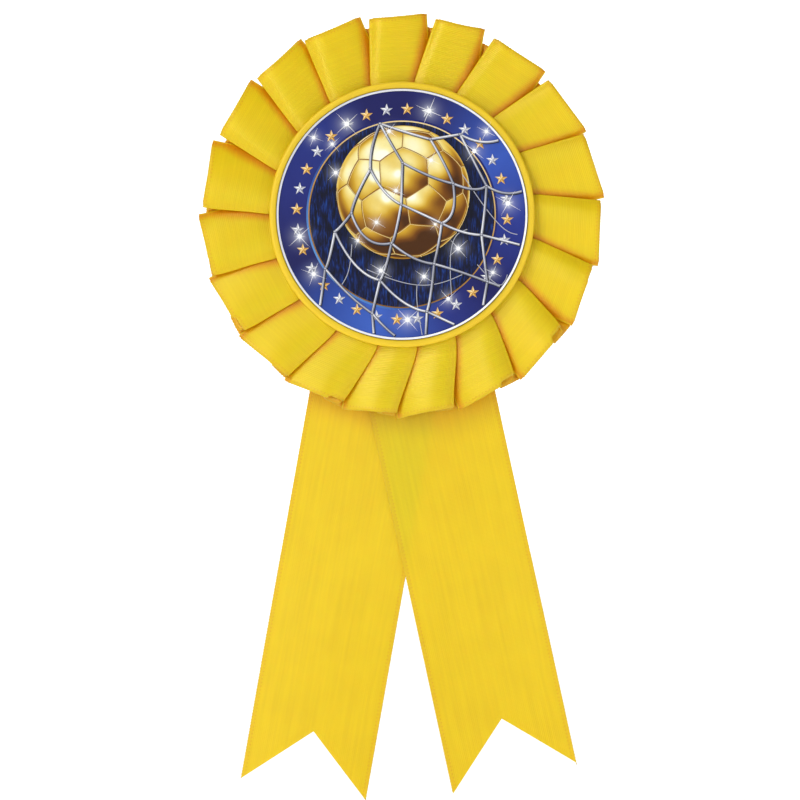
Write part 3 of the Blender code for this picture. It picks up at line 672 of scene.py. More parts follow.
def mouldedPolypropylene():
    # injection-moulded yellow polypropylene: even colour, faint mould grain, slight waxy gloss
    material, tree, shader = newMaterial("mouldedPolypropylene", Roughness=0.42, Specular_IOR_Level=0.4)
    place = addNode(tree, "ShaderNodeTexCoord", out="Object")
    cloud = addNode(tree, "ShaderNodeTexNoise", {"Vector": place, "Scale": 120.0, "Detail": 3.0})
    colour = addNode(tree, "ShaderNodeValToRGB", {"Fac": cloud}, stops=[
        (0.3, "#EAC41C"), (0.7, "#F0CC22")])
    tree.links.new(colour, shader.inputs["Base Color"])
    grain = addNode(tree, "ShaderNodeTexNoise", {"Vector": place, "Scale": 2600.0, "Detail": 2.0})
    bump = addNode(tree, "ShaderNodeBump", {"Height": grain, "Strength": 0.15, "Distance": 0.00004})
    tree.links.new(bump, shader.inputs["Normal"])
    return material


holder = {
    "radius": 26.5, "rimWidth": 1.42, "rimRound": 0.5, "rimDepth": 2.0, "floor": 1.0,
    "hubRadius": 14.1, "hubWall": 1.2,
}


def roundedCorner(radius, depth, r, angles, outwards=1, forwards=1):  # rounds the corner at (radius, depth)
    return [(radius - outwards * r * (1 - math.cos(a)), depth - forwards * r * (1 - math.sin(a)))
            for a in np.radians(angles)]


def makeHolder(h):
    back, front = depthOf("centre_holder")
    flange = front - h["rimDepth"]  # back of the flange that the label sits in
    floor = flange + h["floor"]
    inner = h["radius"] - h["rimWidth"]
    hub, bore = h["hubRadius"], h["hubRadius"] - h["hubWall"]
    profile = [
        (0.01, floor), (0.01, flange), (bore, flange), (bore, back),
        *roundedCorner(hub, back, 0.2, (90, 45, 0), forwards=-1), (hub, flange),
        *roundedCorner(h["radius"], flange, 0.3, (90, 45, 0), forwards=-1),
        *roundedCorner(h["radius"], front, h["rimRound"], (0, 22, 45, 68, 90)),
        *roundedCorner(inner, front, 0.2, (90, 45, 0), outwards=-1), (inner, floor)]
    piece = turnedPiece("centreHolder", profile, 192, mouldedPolypropylene())
    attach(piece, rosette)
    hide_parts("centre_holder")


makeHolder(holder)
print("holder turned")


label = {
    "radius": 25.0, "rimWidth": 0.4, "ringRadius": 18.6, "ballX": 0.2, "ballZ": 4.4, "ballRadius": 13.3,
    "starCircle": 21.0, "stars": 32, "firstStar": 2.8, "starOuter": 1.3, "starInner": 0.52, "inkStep": 0.03,
    # own scatter of glints: x, z, size
    "glints": [
        (5.4, 20.6, 1.15), (-11.0, 18.0, 1.15), (-17.6, 15.3, 0.8), (-13.9, 14.0, 0.75), (-13.2, 8.3, 0.85),
        (-20.4, -4.4, 1.1), (-17.6, -11.9, 1.0), (5.8, 10.8, 0.8), (16.8, 16.5, 0.85), (14.4, 12.6, 1.0),
        (21.1, 2.2, 1.1), (11.2, -6.8, 0.95), (6.6, -2.0, 0.6), (-5.1, -1.6, 0.8), (-4.2, -11.2, 0.95),
        (4.4, -12.4, 0.85), (9.2, -16.8, 0.9), (18.1, -11.6, 0.75), (1.1, -21.0, 1.15), (-1.2, 4.7, 0.8),
        (-2.6, 16.6, 0.85), (-8.8, -5.2, 0.7)],
}


def glow(x, z):  # soft light round each glint
    total = 0.0
    for gx, gz, size in label["glints"]:
        d2 = (np.asarray(x) - gx) ** 2 + (np.asarray(z) - gz) ** 2
        total = total + 0.85 * np.exp(-d2 / (0.65 * size) ** 2) + 0.22 * np.exp(-d2 / (1.7 * size) ** 2)
    return np.clip(total, 0, 1)


def printedFilm():
    # glossy polyester film printed in process inks: even sheen over whatever is printed on it
    material, tree, shader = newMaterial("printedPolyesterFilm", Roughness=0.3, Specular_IOR_Level=0.22)
    ink = addNode(tree, "ShaderNodeAttribute", attribute_name="ink", out="Color")
    place = addNode(tree, "ShaderNodeTexCoord", out="Object")
    speck = addNode(tree, "ShaderNodeTexNoise", {"Vector": place, "Scale": 1200.0, "Detail": 2.0})
    grain = addNode(tree, "ShaderNodeMapRange", {"Value": speck, "To Min": 0.94, "To Max": 1.04})
    mixed = addNode(tree, "ShaderNodeVectorMath", {0: ink, "Scale": grain}, operation="SCALE")
    tree.links.new(mixed, shader.inputs["Base Color"])
    return material


inkFilm = printedFilm()


def fieldInk(ring):  # the blue ground: a graded band outside the gold ring, dark brushed field inside it
    material, tree, shader = newMaterial("printedPolyesterFilmBlue", Roughness=0.3, Specular_IOR_Level=0.22)
    place = addNode(tree, "ShaderNodeTexCoord", out="Object")
    x, _, z = addNode(tree, "ShaderNodeSeparateXYZ", {0: place}).node.outputs
    angle = addNode(tree, "ShaderNodeMath", {0: x, 1: z}, operation="ARCTAN2")  # clockwise from the top
    turns = addNode(tree, "ShaderNodeMath", {0: angle, 1: 0.5 / math.pi, 2: 1.0}, operation="MULTIPLY_ADD")
    turns = addNode(tree, "ShaderNodeMath", {0: turns}, operation="FRACT")
    band = addNode(tree, "ShaderNodeValToRGB", {"Fac": turns}, stops=[
        (0.0, "#1A1C5A"), (0.06, "#20286C"), (0.165, "#3656B4"), (0.25, "#283890"), (0.36, "#181A58"),
        (0.43, "#243080"), (0.54, "#3C60BE"), (0.61, "#2C489C"), (0.68, "#1A1C56"), (0.78, "#222A74"),
        (0.88, "#22307E"), (0.95, "#1A1C5A"), (1.0, "#1A1C5A")])
    strokesPlace = addNode(tree, "ShaderNodeMapping", {
        "Vector": place, "Scale": (2600.0, 0.0, 420.0), "Rotation": (0.0, math.radians(4), 0.0)})
    strokes = addNode(tree, "ShaderNodeTexNoise", {
        "Vector": strokesPlace, "Scale": 1.0, "Detail": 2.5, "Roughness": 0.6, "Distortion": 0.5})
    field = addNode(tree, "ShaderNodeValToRGB", {"Fac": strokes}, stops=[
        (0.40, "#050820"), (0.52, "#081440"), (0.62, "#0F2C70"), (0.74, "#1A4490")])
    flat = addNode(tree, "ShaderNodeCombineXYZ", {0: x, 2: z})
    radius = addNode(tree, "ShaderNodeVectorMath", {0: flat}, operation="LENGTH", out="Value")
    inside = addNode(tree, "ShaderNodeMath", {0: radius, 1: ring * mm}, operation="LESS_THAN")
    colour = addNode(tree, "ShaderNodeMix", {"Factor": inside, 6: band, 7: field}, data_type="RGBA", out=2)
    shade = addNode(tree, "ShaderNodeAttribute", attribute_name="ballShadow", out="Fac")
    colour = addNode(tree, "ShaderNodeMix", {"Factor": shade, 6: colour, 7: hexColour("#02030E")},
                     data_type="RGBA", out=2)
    light = addNode(tree, "ShaderNodeAttribute", attribute_name="glow", out="Fac")
    colour = addNode(tree, "ShaderNodeMix", {"Factor": light, 6: colour, 7: hexColour("#EEF2FF")},
                     data_type="RGBA", out=2)
    tree.links.new(colour, shader.inputs["Base Color"])
    return material


def makeLabelBase(c):  # the film disc, with a fine grid in front to carry the printed light and shade
    back, front = depthOf("printed_label")
    edge, cut = c["radius"], 0.08  # the disc's edges are slightly rounded by the punch
    profile = [(0.01, back), (edge - cut, back), (edge, back + cut), (edge, front - cut), (edge - cut, front)]
    profile += [(r, front) for r in np.linspace(edge - 0.3, 0.01, 90)]
    base = turnedPiece("labelFilm", profile, 256, fieldInk(c["ringRadius"]))
    co = np.array([v.co for v in base.data.vertices]) / mm
    x, z = co[:, 0], co[:, 2]
    offset = np.hypot(x - c["ballX"] - 0.5, z - c["ballZ"] + 0.9)
    shadow = 0.85 * (1 - smoothStep(c["ballRadius"] - 1.0, c["ballRadius"] + 2.6, offset))
    for key, values in (("glow", glow(x, z) * 0.9), ("ballShadow", shadow)):
        base.data.attributes.new(key, "FLOAT", "POINT").data.foreach_set("value", values.astype(np.float32))
    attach(base, rosette)
    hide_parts("printed_label")
    return front


printFront = makeLabelBase(label)


def inkRing(name, inner, outer, step, colour):  # a flat printed ring, coloured by its angle
    front = printFront + step * label["inkStep"]
    back = front - 0.02
    ring = turnedPiece(
        name, [(inner, back), (outer, back), (outer, front), (inner, front), (inner, back)], 256, inkFilm)
    co = np.array([v.co for v in ring.data.vertices])
    inks = colour(np.arctan2(co[:, 0], co[:, 2])).astype(np.float32)
    ring.data.attributes.new("ink", "FLOAT_COLOR", "POINT").data.foreach_set("color", inks.ravel())
    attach(ring, rosette)


def mixColours(stops, value):  # (place, hex) pairs to a linear colour for each value
    places = [place for place, _ in stops]
    channels = np.array([hexColour(code) for _, code in stops])
    return np.stack([np.interp(value, places, channels[:, i]) for i in range(4)], axis=-1)


goldTones = [(0.0, "#3E2004"), (0.14, "#74430C"), (0.3, "#A8751A"), (0.47, "#CDA02A"), (0.64, "#E6C75E"),
             (0.82, "#F7EBA4"), (1.0, "#FFFDE8")]
silverTones = [(0.0, "#3C3F4C"), (0.35, "#8D90A0"), (0.65, "#C9CBD6"), (1.0, "#FFFFFF")]


def goldRing(a):  # lit at the top right, duller at the bottom left
    lit = 0.5 + 0.45 * np.cos(a - math.radians(20))
    return mixColours([(0.0, "#7A5420"), (0.5, "#B98A3A"), (1.0, "#F0D9A0")], lit)


def blueBevel(a):  # the ring's inner bevel catches light at the lower left
    lit = np.maximum(0.0, np.cos(a - math.radians(235))) ** 1.3
    return mixColours([(0.0, "#1B2368"), (0.5, "#335CA8"), (1.0, "#5A90D0")], lit)


def shadedWhiteRim(a):  # painted shade: white at the right, greyer at the left
    return mixColours([(0.0, "#D4D6DE"), (1.0, "#FFFFFF")], 0.5 + 0.5 * np.cos(a - math.radians(115)))


inkRing("labelWhiteRim", label["radius"] - label["rimWidth"], label["radius"], 8, shadedWhiteRim)
inkRing("labelBlueBevel", label["ringRadius"] + 0.05, label["ringRadius"] + 0.48, 1, blueBevel)
inkRing("labelGoldRing", label["ringRadius"] - 0.14, label["ringRadius"] + 0.1, 2, goldRing)


def joinStrips(name, strips):  # flat ribbons in the print: (points, widths, step, colours)
    verts, faces, inks = [], [], []
    for points, widths, step, colours in strips:
        points = np.asarray(points, float)
        if len(points) < 2:
            continue
        along = np.gradient(points, axis=0)
        along /= np.maximum(np.linalg.norm(along, axis=1), 1e-9)[:, None]
        side = np.stack([-along[:, 1], along[:, 0]], axis=1)
        depth = printFront + step * label["inkStep"]
        first = len(verts)
        for (x, z), (sx, sz), width, colour in zip(points, side, widths, colours):
            for way in (-0.5, 0.5):
                verts.append(toWorld(x + way * width * sx, z + way * width * sz, depth))
                inks.append(colour)
        for i in range(len(points) - 1):
            a = first + 2 * i
            faces.append((a, a + 1, a + 3, a + 2))
    return faceFront(meshPiece(name, verts, faces, inkFilm, smooth=False, ink=inks))


def ballPanels():  # a plain 32-panel football, turned to its own angle
    g = (1 + math.sqrt(5)) / 2
    corners = [Vector(v).normalized() for v in (
        (0, 1, g), (0, -1, g), (0, 1, -g), (0, -1, -g), (1, g, 0), (-1, g, 0), (1, -g, 0), (-1, -g, 0),
        (g, 0, 1), (g, 0, -1), (-g, 0, 1), (-g, 0, -1))]
    for angle, axis in ((11, "Z"), (-37, "Y"), (24, "X")):
        corners = [Matrix.Rotation(math.radians(angle), 3, axis) @ v for v in corners]
    near = 1.1 * min((a - b).length for a in corners for b in corners if a is not b)
    edges = [(i, j) for i in range(12) for j in range(i + 1, 12) if (corners[i] - corners[j]).length < near]
    triples = [(i, j, k) for i, j in edges for k in range(j + 1, 12) if (i, k) in edges and (j, k) in edges]
    return corners, edges, triples


def third(a, b):
    return ((2 * a + b) / 3).normalized()


ballCorners, ballEdges, ballTriples = ballPanels()


def panelOf(n):  # the middle of the panel that each direction lies on
    centres = [sum((ballCorners[i] for i in t), Vector()).normalized() for t in ballTriples]
    facing = n @ np.array(centres).T
    which = facing.argmax(axis=1)
    middle = np.array(centres)[which]
    number = which + 12
    for f, t in enumerate(ballTriples):
        for i in t:
            j, k = [m for m in t if m != i]
            edge = third(ballCorners[i], ballCorners[j]).cross(third(ballCorners[i], ballCorners[k]))
            if edge.dot(ballCorners[i]) < 0:
                edge = -edge
            inside = (which == f) & (n @ np.array(edge) > 0)
            middle[inside] = ballCorners[i]
            number[inside] = i
    return middle, number


def seamArcs():
    ends = [(ballCorners[i], ballCorners[j]) for i, j in ballEdges]
    arcs = [(third(a, b), third(b, a)) for a, b in ends]
    for t in ballTriples:
        for i in t:
            j, k = [m for m in t if m != i]
            arcs.append((third(ballCorners[i], ballCorners[j]), third(ballCorners[i], ballCorners[k])))
    return arcs


def goldValue(x, z):  # polished gold with each panel slightly puffed, lit from the upper left
    y = np.sqrt(np.clip(1 - x * x - z * z, 0, 1))
    n = np.stack([x, z, y], axis=1)
    middle, number = panelOf(n)
    puffed = n + 1.5 * (n - middle * (n * middle).sum(axis=1)[:, None])
    puffed /= np.linalg.norm(puffed, axis=1)[:, None]
    mirrored = 2 * puffed[:, 2:3] * puffed - np.array([0, 0, 1.0])
    sky = mirrored @ np.array([-0.42, 0.80, 0.43])
    value = 0.46 + 0.40 * np.tanh(1.7 * sky)
    value += 0.09 * np.sin(4.0 * mirrored[:, 1] + 2.3 * mirrored[:, 0] + number)
    value += 0.42 * np.exp(-((mirrored - np.array([-0.35, 0.45, 0.82])) ** 2).sum(axis=1) / 0.09)
    value += 0.07 * np.sin(number * 2.4)
    r = np.hypot(x, z)
    value += 0.45 * smoothStep(0.955, 1.0, r) * (0.4 + 0.6 * np.abs(x))
    value -= 0.30 * smoothStep(0.55, 1.0, -z) * (1 - smoothStep(0.95, 1.0, r))
    return np.clip(value, 0.02, 1)


def makeBall(c):
    segments, rows = 200, 72
    depth = printFront + c["inkStep"]
    radii = np.linspace(0.004, 1, rows)
    a = 2 * math.pi * np.arange(segments) / segments
    x = (radii[:, None] * np.sin(a)[None]).ravel()
    z = (radii[:, None] * np.cos(a)[None]).ravel()
    value = goldValue(x, z)
    x, z = c["ballX"] + c["ballRadius"] * x, c["ballZ"] + c["ballRadius"] * z
    light = glow(x, z)[:, None] * 0.8
    inks = mixColours(goldTones, value) * (1 - light) + np.array(hexColour("#FFFDF2")) * light
    verts = [toWorld(u, v, depth) for u, v in zip(x, z)]
    faces = gridFaces(rows, segments, closed=True) + [tuple(range(segments))]
    ball = faceFront(meshPiece("labelBall", verts, faces, inkFilm, ink=inks))

    strips = []
    dark, bright = hexColour("#8A5A16"), hexColour("#EAD088")
    for start, stop in seamArcs():
        points = []
        for i in range(11):
            n = start.lerp(stop, i / 10).normalized()
            if n.z > 0.06:
                points.append((c["ballX"] + c["ballRadius"] * n.x, c["ballZ"] + c["ballRadius"] * n.y))
        if len(points) < 2:
            continue
        points = np.array(points)
        strips.append((points, [0.27] * len(points), 2, [dark] * len(points)))
        strips.append((points + np.array([0.07, -0.11]), [0.11] * len(points), 3, [bright] * len(points)))
    seams = joinStrips("labelBallSeams", strips)
    for piece in (ball, seams):
        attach(piece, rosette)


makeBall(label)
print("ball printed")


net = {
    "top": (-4.4, 18.1), "cord": 0.47, "knot": 0.3, "edge": 24.42, "seed": 5, "jitter": 1.1,
    # each row: distance from the top knot, degrees below level of its first and last knot, and how many knots
    "rows": [(9.6, 16, 104, 3), (17.4, 8, 108, 4), (24.6, 4, 111, 5), (31.4, 2, 112, 6), (38.6, 4, 110, 7),
             (46.0, 8, 106, 8)],
    # thin cords of its far side: both ends and how far each sags
    "farCords": [(12, 8, 23, -4, 3.5), (-7, -11, 12, -12, 2.6), (13, -3, 10, -18, -4.0),
                 (-10, -6, -12, -14, 1.0), (3, -14, 4, -24, -1.2), (15, -10, 21, -12, 3.0)],
    "farCord": 0.15,
}


def netKnots(c):  # a diamond mesh fanning out from the knot it hangs by, row by row
    rng = np.random.default_rng(c["seed"])
    rows = [[c["top"]]]
    for reach, first, last, count in c["rows"]:
        row = []
        for i in range(count):
            a = math.radians(first + (last - first) * i / (count - 1) + rng.uniform(-2.2, 2.2))
            r = reach + rng.uniform(-1.3, 1.3) * c["jitter"]
            row.append((c["top"][0] + r * math.cos(a), c["top"][1] - r * math.sin(a)))
        rows.append(row)
    return rows, rng


def clipped(points, edge):  # the part of a line inside the printed edge
    return [p for p in points if math.hypot(*p) <= edge]


def cordStrips(points, width, phase):  # a printed cord: dark edge, grey body and a light core
    points = np.array(points)
    tone = 0.5 + 0.5 * np.sin(np.linspace(0, 3, len(points)) + phase)
    wide = width * np.ones(len(points))
    return [
        (points + np.array([0.13, -0.13]), wide * 1.15, 4, [hexColour("#14141E")] * len(points)),
        (points, wide, 5, mixColours(silverTones, 0.16 + 0.26 * tone)),
        (points + np.array([-0.05, 0.06]), wide * 0.42, 6, mixColours(silverTones, 0.5 + 0.4 * tone))]


def slackCord(start, stop, sag, edge):  # hangs a little between two knots and leans away from the ball
    start, stop = np.array(start), np.array(stop)
    middle = (start + stop) / 2
    away = middle - (label["ballX"], label["ballZ"])
    reach = max(math.hypot(*away), 1e-6)
    lean = math.exp(-((reach - 10) / 6) ** 2) * abs(sag)
    middle = middle + away / reach * lean - (0, sag)
    points = [(1 - s) ** 2 * start + 2 * s * (1 - s) * middle + s * s * stop for s in np.linspace(0, 1, 31)]
    return clipped(points, edge)


def makeNet(c):
    rows, rng = netKnots(c)
    strips, knots = [], []
    for level in range(len(rows) - 1):
        for i, start in enumerate(rows[level]):
            after = range(len(rows[1])) if level == 0 else (i, i + 1)
            for j in after:
                points = slackCord(start, rows[level + 1][j], rng.uniform(-0.6, 3.0), c["edge"])
                if len(points) > 2:
                    strips += cordStrips(points, c["cord"], i + 2 * j)
        knots += [k for k in rows[level] if math.hypot(*k) < c["edge"] - 0.6]
    along = np.linspace(0, 1, 30)
    for x0, z0, x1, z1, sag in c["farCords"]:
        bow = sag * np.sin(math.pi * along)
        line = zip((1 - along) * x0 + along * x1 + 0.4 * bow, (1 - along) * z0 + along * z1 - bow)
        points = clipped(line, c["edge"])
        inks = [mixColours(silverTones, 0.5)] * len(points)
        strips.append((points, [c["farCord"]] * len(points), 3.4, inks))
    cords = joinStrips("labelNet", strips)
    verts, faces, inks = [], [], []
    for x, z in knots:
        for size, step, tone in ((1.15, 6.6, 0.12), (0.75, 7.0, 0.6)):
            first = len(verts)
            depth, r = printFront + step * label["inkStep"], c["knot"] * size
            verts.append(toWorld(x, z, depth))
            inks.append(mixColours(silverTones, tone))
            for k in range(12):
                a = 2 * math.pi * k / 12
                verts.append(toWorld(x + r * math.cos(a), z + 0.8 * r * math.sin(a), depth))
                inks.append(mixColours(silverTones, tone - 0.1 + 0.2 * math.sin(a)))
            faces += [(first, first + 1 + k, first + 1 + (k + 1) % 12) for k in range(12)]
    tied = meshPiece("labelNetKnots", verts, faces, inkFilm, smooth=False, ink=inks)
    for piece in (cords, tied):
        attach(piece, rosette)


makeNet(net)
print("net printed")


def starSource(name, tones):  # five points in ten facets, alternately lit
    verts, faces, inks = [], [], []
    for k in range(10):
        ends = [(label[("starOuter", "starInner")[n % 2]], math.pi * n / 5) for n in (k, k + 1)]
        tone = (0.78, 0.42)[k % 2] + 0.16 * math.cos(math.pi * (k + 0.5) / 5 + 0.8)
        faces.append((len(verts), len(verts) + 1, len(verts) + 2))
        verts += [(r * math.sin(a) * mm, 0, r * math.cos(a) * mm) for r, a in [(0, 0), *ends]]
        inks += [mixColours(tones, tone)] * 3
    star = meshPiece(name, verts, faces, smooth=False, ink=inks)
    star.hide_render = True
    return star


def glintSource():  # a bright core with long crossed rays and short ones between them
    verts, faces = [], []
    for k in range(8):  # each ray a hair further forward than the last
        a, y = math.pi * k / 4 + 0.6, -0.002 * k
        reach, wide = ((2.7, 0.07), (1.2, 0.05))[k % 2]
        faces.append((len(verts), len(verts) + 1, len(verts) + 2))
        verts += [(wide * math.cos(a), y, -wide * math.sin(a)), (-wide * math.cos(a), y, wide * math.sin(a)),
                  (reach * math.sin(a), y, reach * math.cos(a))]
    faces.append(tuple(range(len(verts), len(verts) + 16)))
    verts += [(0.42 * math.cos(math.pi * k / 8), -0.03, 0.42 * math.sin(math.pi * k / 8)) for k in range(16)]
    verts = np.array(verts) * mm
    glint = meshPiece("glintSource", verts, faces, smooth=False, ink=[hexColour("#FFFFFF")] * len(verts))
    glint.hide_render = True
    return glint


def scatterTree():  # two shapes set on points by turns, each with its own size and turn
    tree, start, end = newTree("scatterInk", {"Even": "Object", "Odd": "Object", "Ink": "Material"})
    even, odd = [addNode(tree, "GeometryNodeObjectInfo", {"Object": start.outputs[n]}, out="Geometry")
                 for n in ("Even", "Odd")]
    index = addNode(tree, "GeometryNodeInputIndex")
    parity = addNode(tree, "ShaderNodeMath", {0: index, 1: 2.0}, operation="MODULO")
    isOdd = addNode(tree, "ShaderNodeMath", {0: parity, 1: 0.5}, operation="GREATER_THAN")
    isEven = addNode(tree, "ShaderNodeMath", {0: 1.0, 1: isOdd}, operation="SUBTRACT")
    size, turn = [addNode(tree, "GeometryNodeInputNamedAttribute", {"Name": n}, data_type="FLOAT")
                  for n in ("size", "turn")]
    facing = addNode(tree, "ShaderNodeCombineXYZ", {"Y": turn})
    both = addNode(tree, "GeometryNodeJoinGeometry")
    for shape, chosen in ((odd, isOdd), (even, isEven)):
        placed = addNode(tree, "GeometryNodeInstanceOnPoints", {
            "Points": start.outputs["Geometry"], "Selection": chosen, "Instance": shape,
            "Rotation": facing, "Scale": size})
        tree.links.new(placed, both.node.inputs[0])
    made = addNode(tree, "GeometryNodeRealizeInstances", {0: both})
    made = addNode(tree, "GeometryNodeSetMaterial", {"Geometry": made, "Material": start.outputs["Ink"]})
    tree.links.new(made, end.inputs[0])
    return tree


inkTree = scatterTree()


def scatter(name, places, even, odd, step):  # places: (x, z, size, turn)
    depth = printFront + step * label["inkStep"]
    points = meshPiece(name, [toWorld(x, z, depth) for x, z, _, _ in places], [],
                       size=[p[2] for p in places], turn=[p[3] for p in places])
    useTree(points, inkTree, Even=even, Odd=odd, Ink=inkFilm)
    faceFront(baked(points))
    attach(points, rosette)


starGold = [(0.0, "#6E4A14"), (0.4, "#C08A34"), (0.75, "#EDC678"), (1.0, "#FFEFC0")]
goldStar = starSource("goldStarSource", starGold)
silverStar = starSource("silverStarSource", silverTones)
starPlaces = []
for k in range(label["stars"]):
    a = math.radians(label["firstStar"] + 360 * k / label["stars"])
    starPlaces.append((label["starCircle"] * math.sin(a), label["starCircle"] * math.cos(a), 1.0, 0.0))
scatter("labelStars", starPlaces, goldStar, silverStar, 2)
glint = glintSource()
glintPlaces = [(x, z, size, 0.25 * math.sin(7 * x + 3 * z)) for x, z, size in label["glints"]]
scatter("labelGlints", glintPlaces, glint, glint, 8)
for source in (goldStar, silverStar, glint):
    bpy.data.objects.remove(source)
print("stars and glints printed")


def paperMaterial(name, low, high, rough, fibre, strength):
    # pressed pulp: short fibres lying flat, a little darker and rougher where they cross
    material, tree, shader = newMaterial(name, Roughness=rough, Specular_IOR_Level=0.25)
    place = addNode(tree, "ShaderNodeTexCoord", out="Object")
    stretched = addNode(tree, "ShaderNodeMapping", {"Vector": place, "Scale": (1.0, 1.0, 0.4)})
    fibres = addNode(tree, "ShaderNodeTexNoise", {
        "Vector": stretched, "Scale": 1 / (fibre * mm), "Detail": 5.0, "Roughness": 0.65, "Distortion": 1.2})
    colour = addNode(tree, "ShaderNodeValToRGB", {"Fac": fibres}, stops=[(0.3, low), (0.7, high)])
    tree.links.new(colour, shader.inputs["Base Color"])
    bump = addNode(tree, "ShaderNodeBump", {"Height": fibres, "Strength": strength, "Distance": 0.00005})
    tree.links.new(bump, shader.inputs["Normal"])
    return material


greyBoard = paperMaterial("greyPulpBoard", "#8F887B", "#B0A999", 0.9, 0.6, 0.6)
whiteCard = paperMaterial("whiteCoatedCard", "#D3D1CA", "#DEDCD6", 0.55, 0.9, 0.35)


def hotMeltGlue():
    # set hot-melt glue: cloudy, yellowish, softly glossy
    material, tree, shader = newMaterial("hotMeltGlue", Roughness=0.3, Transmission_Weight=0.35, IOR=1.48)
    place = addNode(tree, "ShaderNodeTexCoord", out="Object")
    cloud = addNode(tree, "ShaderNodeTexNoise", {"Vector": place, "Scale": 500.0, "Detail": 3.0})
    colour = addNode(tree, "ShaderNodeValToRGB", {"Fac": cloud}, stops=[
        (0.3, "#E2DCC2"), (0.7, "#F3EFDC")])
    tree.links.new(colour, shader.inputs["Base Color"])
    return material


def polyethyleneFoam():
    # closed-cell foam tape: matt white with cells about 0.2 mm across
    material, tree, shader = newMaterial("polyethyleneFoam", Roughness=0.85, Specular_IOR_Level=0.2)
    place = addNode(tree, "ShaderNodeTexCoord", out="Object")
    cells = addNode(tree, "ShaderNodeTexVoronoi", {"Vector": place, "Scale": 1 / (0.2 * mm)})
    colour = addNode(tree, "ShaderNodeValToRGB", {"Fac": cells}, stops=[
        (0.1, "#F4F4F0"), (0.8, "#D6D6D0")])
    tree.links.new(colour, shader.inputs["Base Color"])
    bump = addNode(tree, "ShaderNodeBump", {"Height": cells, "Strength": 0.5, "Distance": 0.0001})
    tree.links.new(bump, shader.inputs["Normal"])
    return material


def platedSteel(name, low, high, roughLow, roughHigh, grain):
    # metal with a thin plating: bright, with fine rubbing marks that soften its reflections
    material, tree, shader = newMaterial(name, Metallic=1.0)
    place = addNode(tree, "ShaderNodeTexCoord", out="Object")
    drawn = addNode(tree, "ShaderNodeMapping", {"Vector": place, "Scale": (0.12, 1.0, 1.0)})
    marks = addNode(tree, "ShaderNodeTexNoise", {"Vector": drawn, "Scale": 1 / (grain * mm), "Detail": 3.0})
    colour = addNode(tree, "ShaderNodeValToRGB", {"Fac": marks}, stops=[(0.3, low), (0.7, high)])
    tree.links.new(colour, shader.inputs["Base Color"])
    rough = addNode(tree, "ShaderNodeMapRange", {"Value": marks, "To Min": roughLow, "To Max": roughHigh})
    tree.links.new(rough, shader.inputs["Roughness"])
    bump = addNode(tree, "ShaderNodeBump", {"Height": marks, "Strength": 0.12, "Distance": 0.00002})
    tree.links.new(bump, shader.inputs["Normal"])
    return material


glueMaterial = hotMeltGlue()
foamMaterial = polyethyleneFoam()
nickelSteel = platedSteel("nickelPlatedSteel", "#BDB9AE", "#D9D6CC", 0.16, 0.30, 0.15)
rivetSteel = platedSteel("brightRivetSteel", "#A9A9A6", "#C6C6C2", 0.25, 0.40, 0.2)
stapleWire = platedSteel("galvanisedStapleWire", "#A4A7AA", "#C4C7C9", 0.28, 0.42, 0.1)


def softened(node, name, bevel, material, body, slotName):
    # a copy of the CAD node with its edges rounded, which stands in for it
    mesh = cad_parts[node].data.copy()
    mesh.name = name
    obj = bpy.data.objects.new(name, mesh)
    bpy.context.scene.collection.objects.link(obj)
    mesh.materials.clear()
    mesh.materials.append(material)
    work = bmesh.new()
    work.from_mesh(mesh)
    bmesh.ops.remove_doubles(work, verts=work.verts, dist=2e-6)
    bmesh.ops.dissolve_limit(work, angle_limit=math.radians(1.5), verts=work.verts, edges=work.edges)
    work.to_mesh(mesh)
    work.free()
    rounding = obj.modifiers.new("rounding", "BEVEL")
    rounding.width, rounding.segments, rounding.limit_method = bevel * mm, 2, "ANGLE"
    rounding.angle_limit = math.radians(40)
    rounding.use_clamp_overlap = True
    baked(obj)
    obj.data.shade_smooth()
    obj.data.set_sharp_from_angle(angle=math.radians(40))
    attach(obj, body)
    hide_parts(node)


rounded = [
    ("backing_card", "backingCard", 0.12, greyBoard, rosette, "grey_card"),
    ("rear_cover", "rearCover", 0.1, whiteCard, rosette, "white_card"),
    ("pin_adhesive_pad", "pinFoamPad", 0.08, foamMaterial, rosette, "white_foam"),
    ("pin_bar", "pinBar", 0.12, nickelSteel, rosette, "plated_steel"),
    ("hinge_bracket", "hingeBracket", 0.08, nickelSteel, rosette, "plated_steel"),
    ("hinge_rivet", "hingeRivet", 0.1, rivetSteel, rosette, "rivet_steel"),
    ("catch_housing", "catchHousing", 0.06, nickelSteel, rosette, "plated_steel"),
    ("catch_sleeve", "catchSleeve", 0.06, nickelSteel, "catch", "plated_steel"),
    ("left_staple", "leftStaple", 0.08, stapleWire, rosette, "staple_wire"),
    ("right_staple", "rightStaple", 0.08, stapleWire, rosette, "staple_wire"),
]
for row in rounded:
    softened(*row)

for node, material in (
        ("pin_needle", nickelSteel), ("cover_glue_bead", glueMaterial), ("holder_glue_ring", glueMaterial),
        ("label_adhesive", glueMaterial), ("gathering_thread", thread)):
    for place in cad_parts[node].material_slots:
        place.material = material
print("fittings finished")


studio = {
    "size": 6000, "floor": -126.0, "wall": -1700.0, "world": 0.28,
    # name, place, size, watts, colour
    "lights": [
        ("keyLight", (-820, 760, 1050), (420, 420), 4.6, "#FFFDF8"),
        ("fillLight", (900, 120, 1250), (900, 900), 1.2, "#FBFCFF"),
        ("leftStrip", (-640, 0, 1240), (120, 1300), 6.0, "#FFFFFF"),
        ("topLight", (0, 1500, 200), (1200, 800), 3.0, "#FFFFFF")],
}


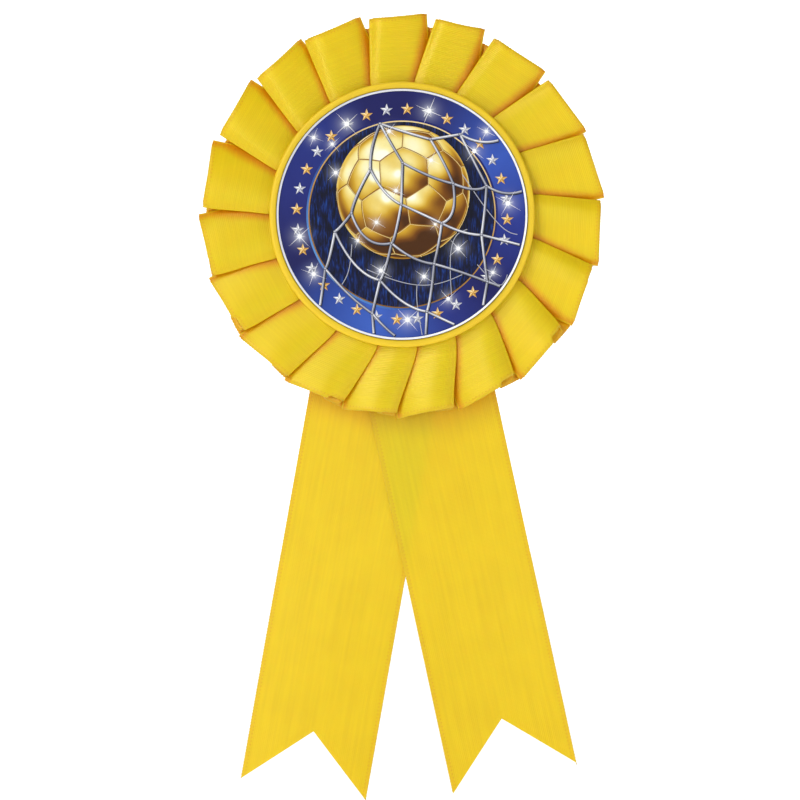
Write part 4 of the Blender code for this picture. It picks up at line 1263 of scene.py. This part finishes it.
def paleSurface(name, glow):
    # matt white paper: even and bright, no gloss
    material, tree, shader = newMaterial(name, Roughness=0.9, Specular_IOR_Level=0.1)
    place = addNode(tree, "ShaderNodeTexCoord", out="Object")
    cloud = addNode(tree, "ShaderNodeTexNoise", {"Vector": place, "Scale": 3.0})
    colour = addNode(tree, "ShaderNodeValToRGB", {"Fac": cloud}, stops=[(0.3, "#FAFAFA"), (0.7, "#FFFFFF")])
    tree.links.new(colour, shader.inputs["Base Color"])
    shader.inputs["Emission Color"].default_value = (1, 1, 1, 1)
    shader.inputs["Emission Strength"].default_value = glow
    return material


def makeStudio(s):
    size = s["size"]
    corners = (-size, -size), (size, -size), (size, size), (-size, size)
    floor = meshPiece("studioFloor", [(x * mm, y * mm, s["floor"] * mm) for x, y in corners], [(0, 1, 2, 3)],
                      paleSurface("studioFloorPaper", 0.3))
    wall = meshPiece("studioWall", [toWorld(x, z / 2, s["wall"]) for x, z in corners], [(0, 1, 2, 3)],
                     paleSurface("studioWallPaper", 0.72))
    for name, (x, z, depth), (wide, tall), watts, colour in s["lights"]:
        data = bpy.data.lights.new(name, "AREA")
        data.shape, data.size, data.size_y = "RECTANGLE", wide * mm, tall * mm
        data.energy, data.color = watts, hexColour(colour)[:3]
        light = bpy.data.objects.new(name, data)
        light.location = toWorld(x, z, depth)
        aim = Vector((0, 0, -0.02)) - Vector(light.location)
        light.rotation_euler = aim.to_track_quat("-Z", "Y").to_euler()
        light.visible_camera = False
        bpy.context.scene.collection.objects.link(light)
    world = bpy.data.worlds.new("studioWorld")
    world.use_nodes = True
    tree = world.node_tree
    direction = addNode(tree, "ShaderNodeTexCoord", out="Generated")
    up = addNode(tree, "ShaderNodeSeparateXYZ", {0: direction}, out="Z")
    height = addNode(tree, "ShaderNodeMath", {0: up}, operation="ABSOLUTE")
    sky = addNode(tree, "ShaderNodeMapRange", {
        "Value": height, "From Min": 0.12, "From Max": 0.3, "To Min": 0.85, "To Max": s["world"]})
    tree.links.new(sky, tree.nodes["Background"].inputs["Color"])
    bpy.context.scene.world = world
    bpy.context.scene.view_settings.view_transform = "Standard"


makeStudio(studio)
print("studio lit")
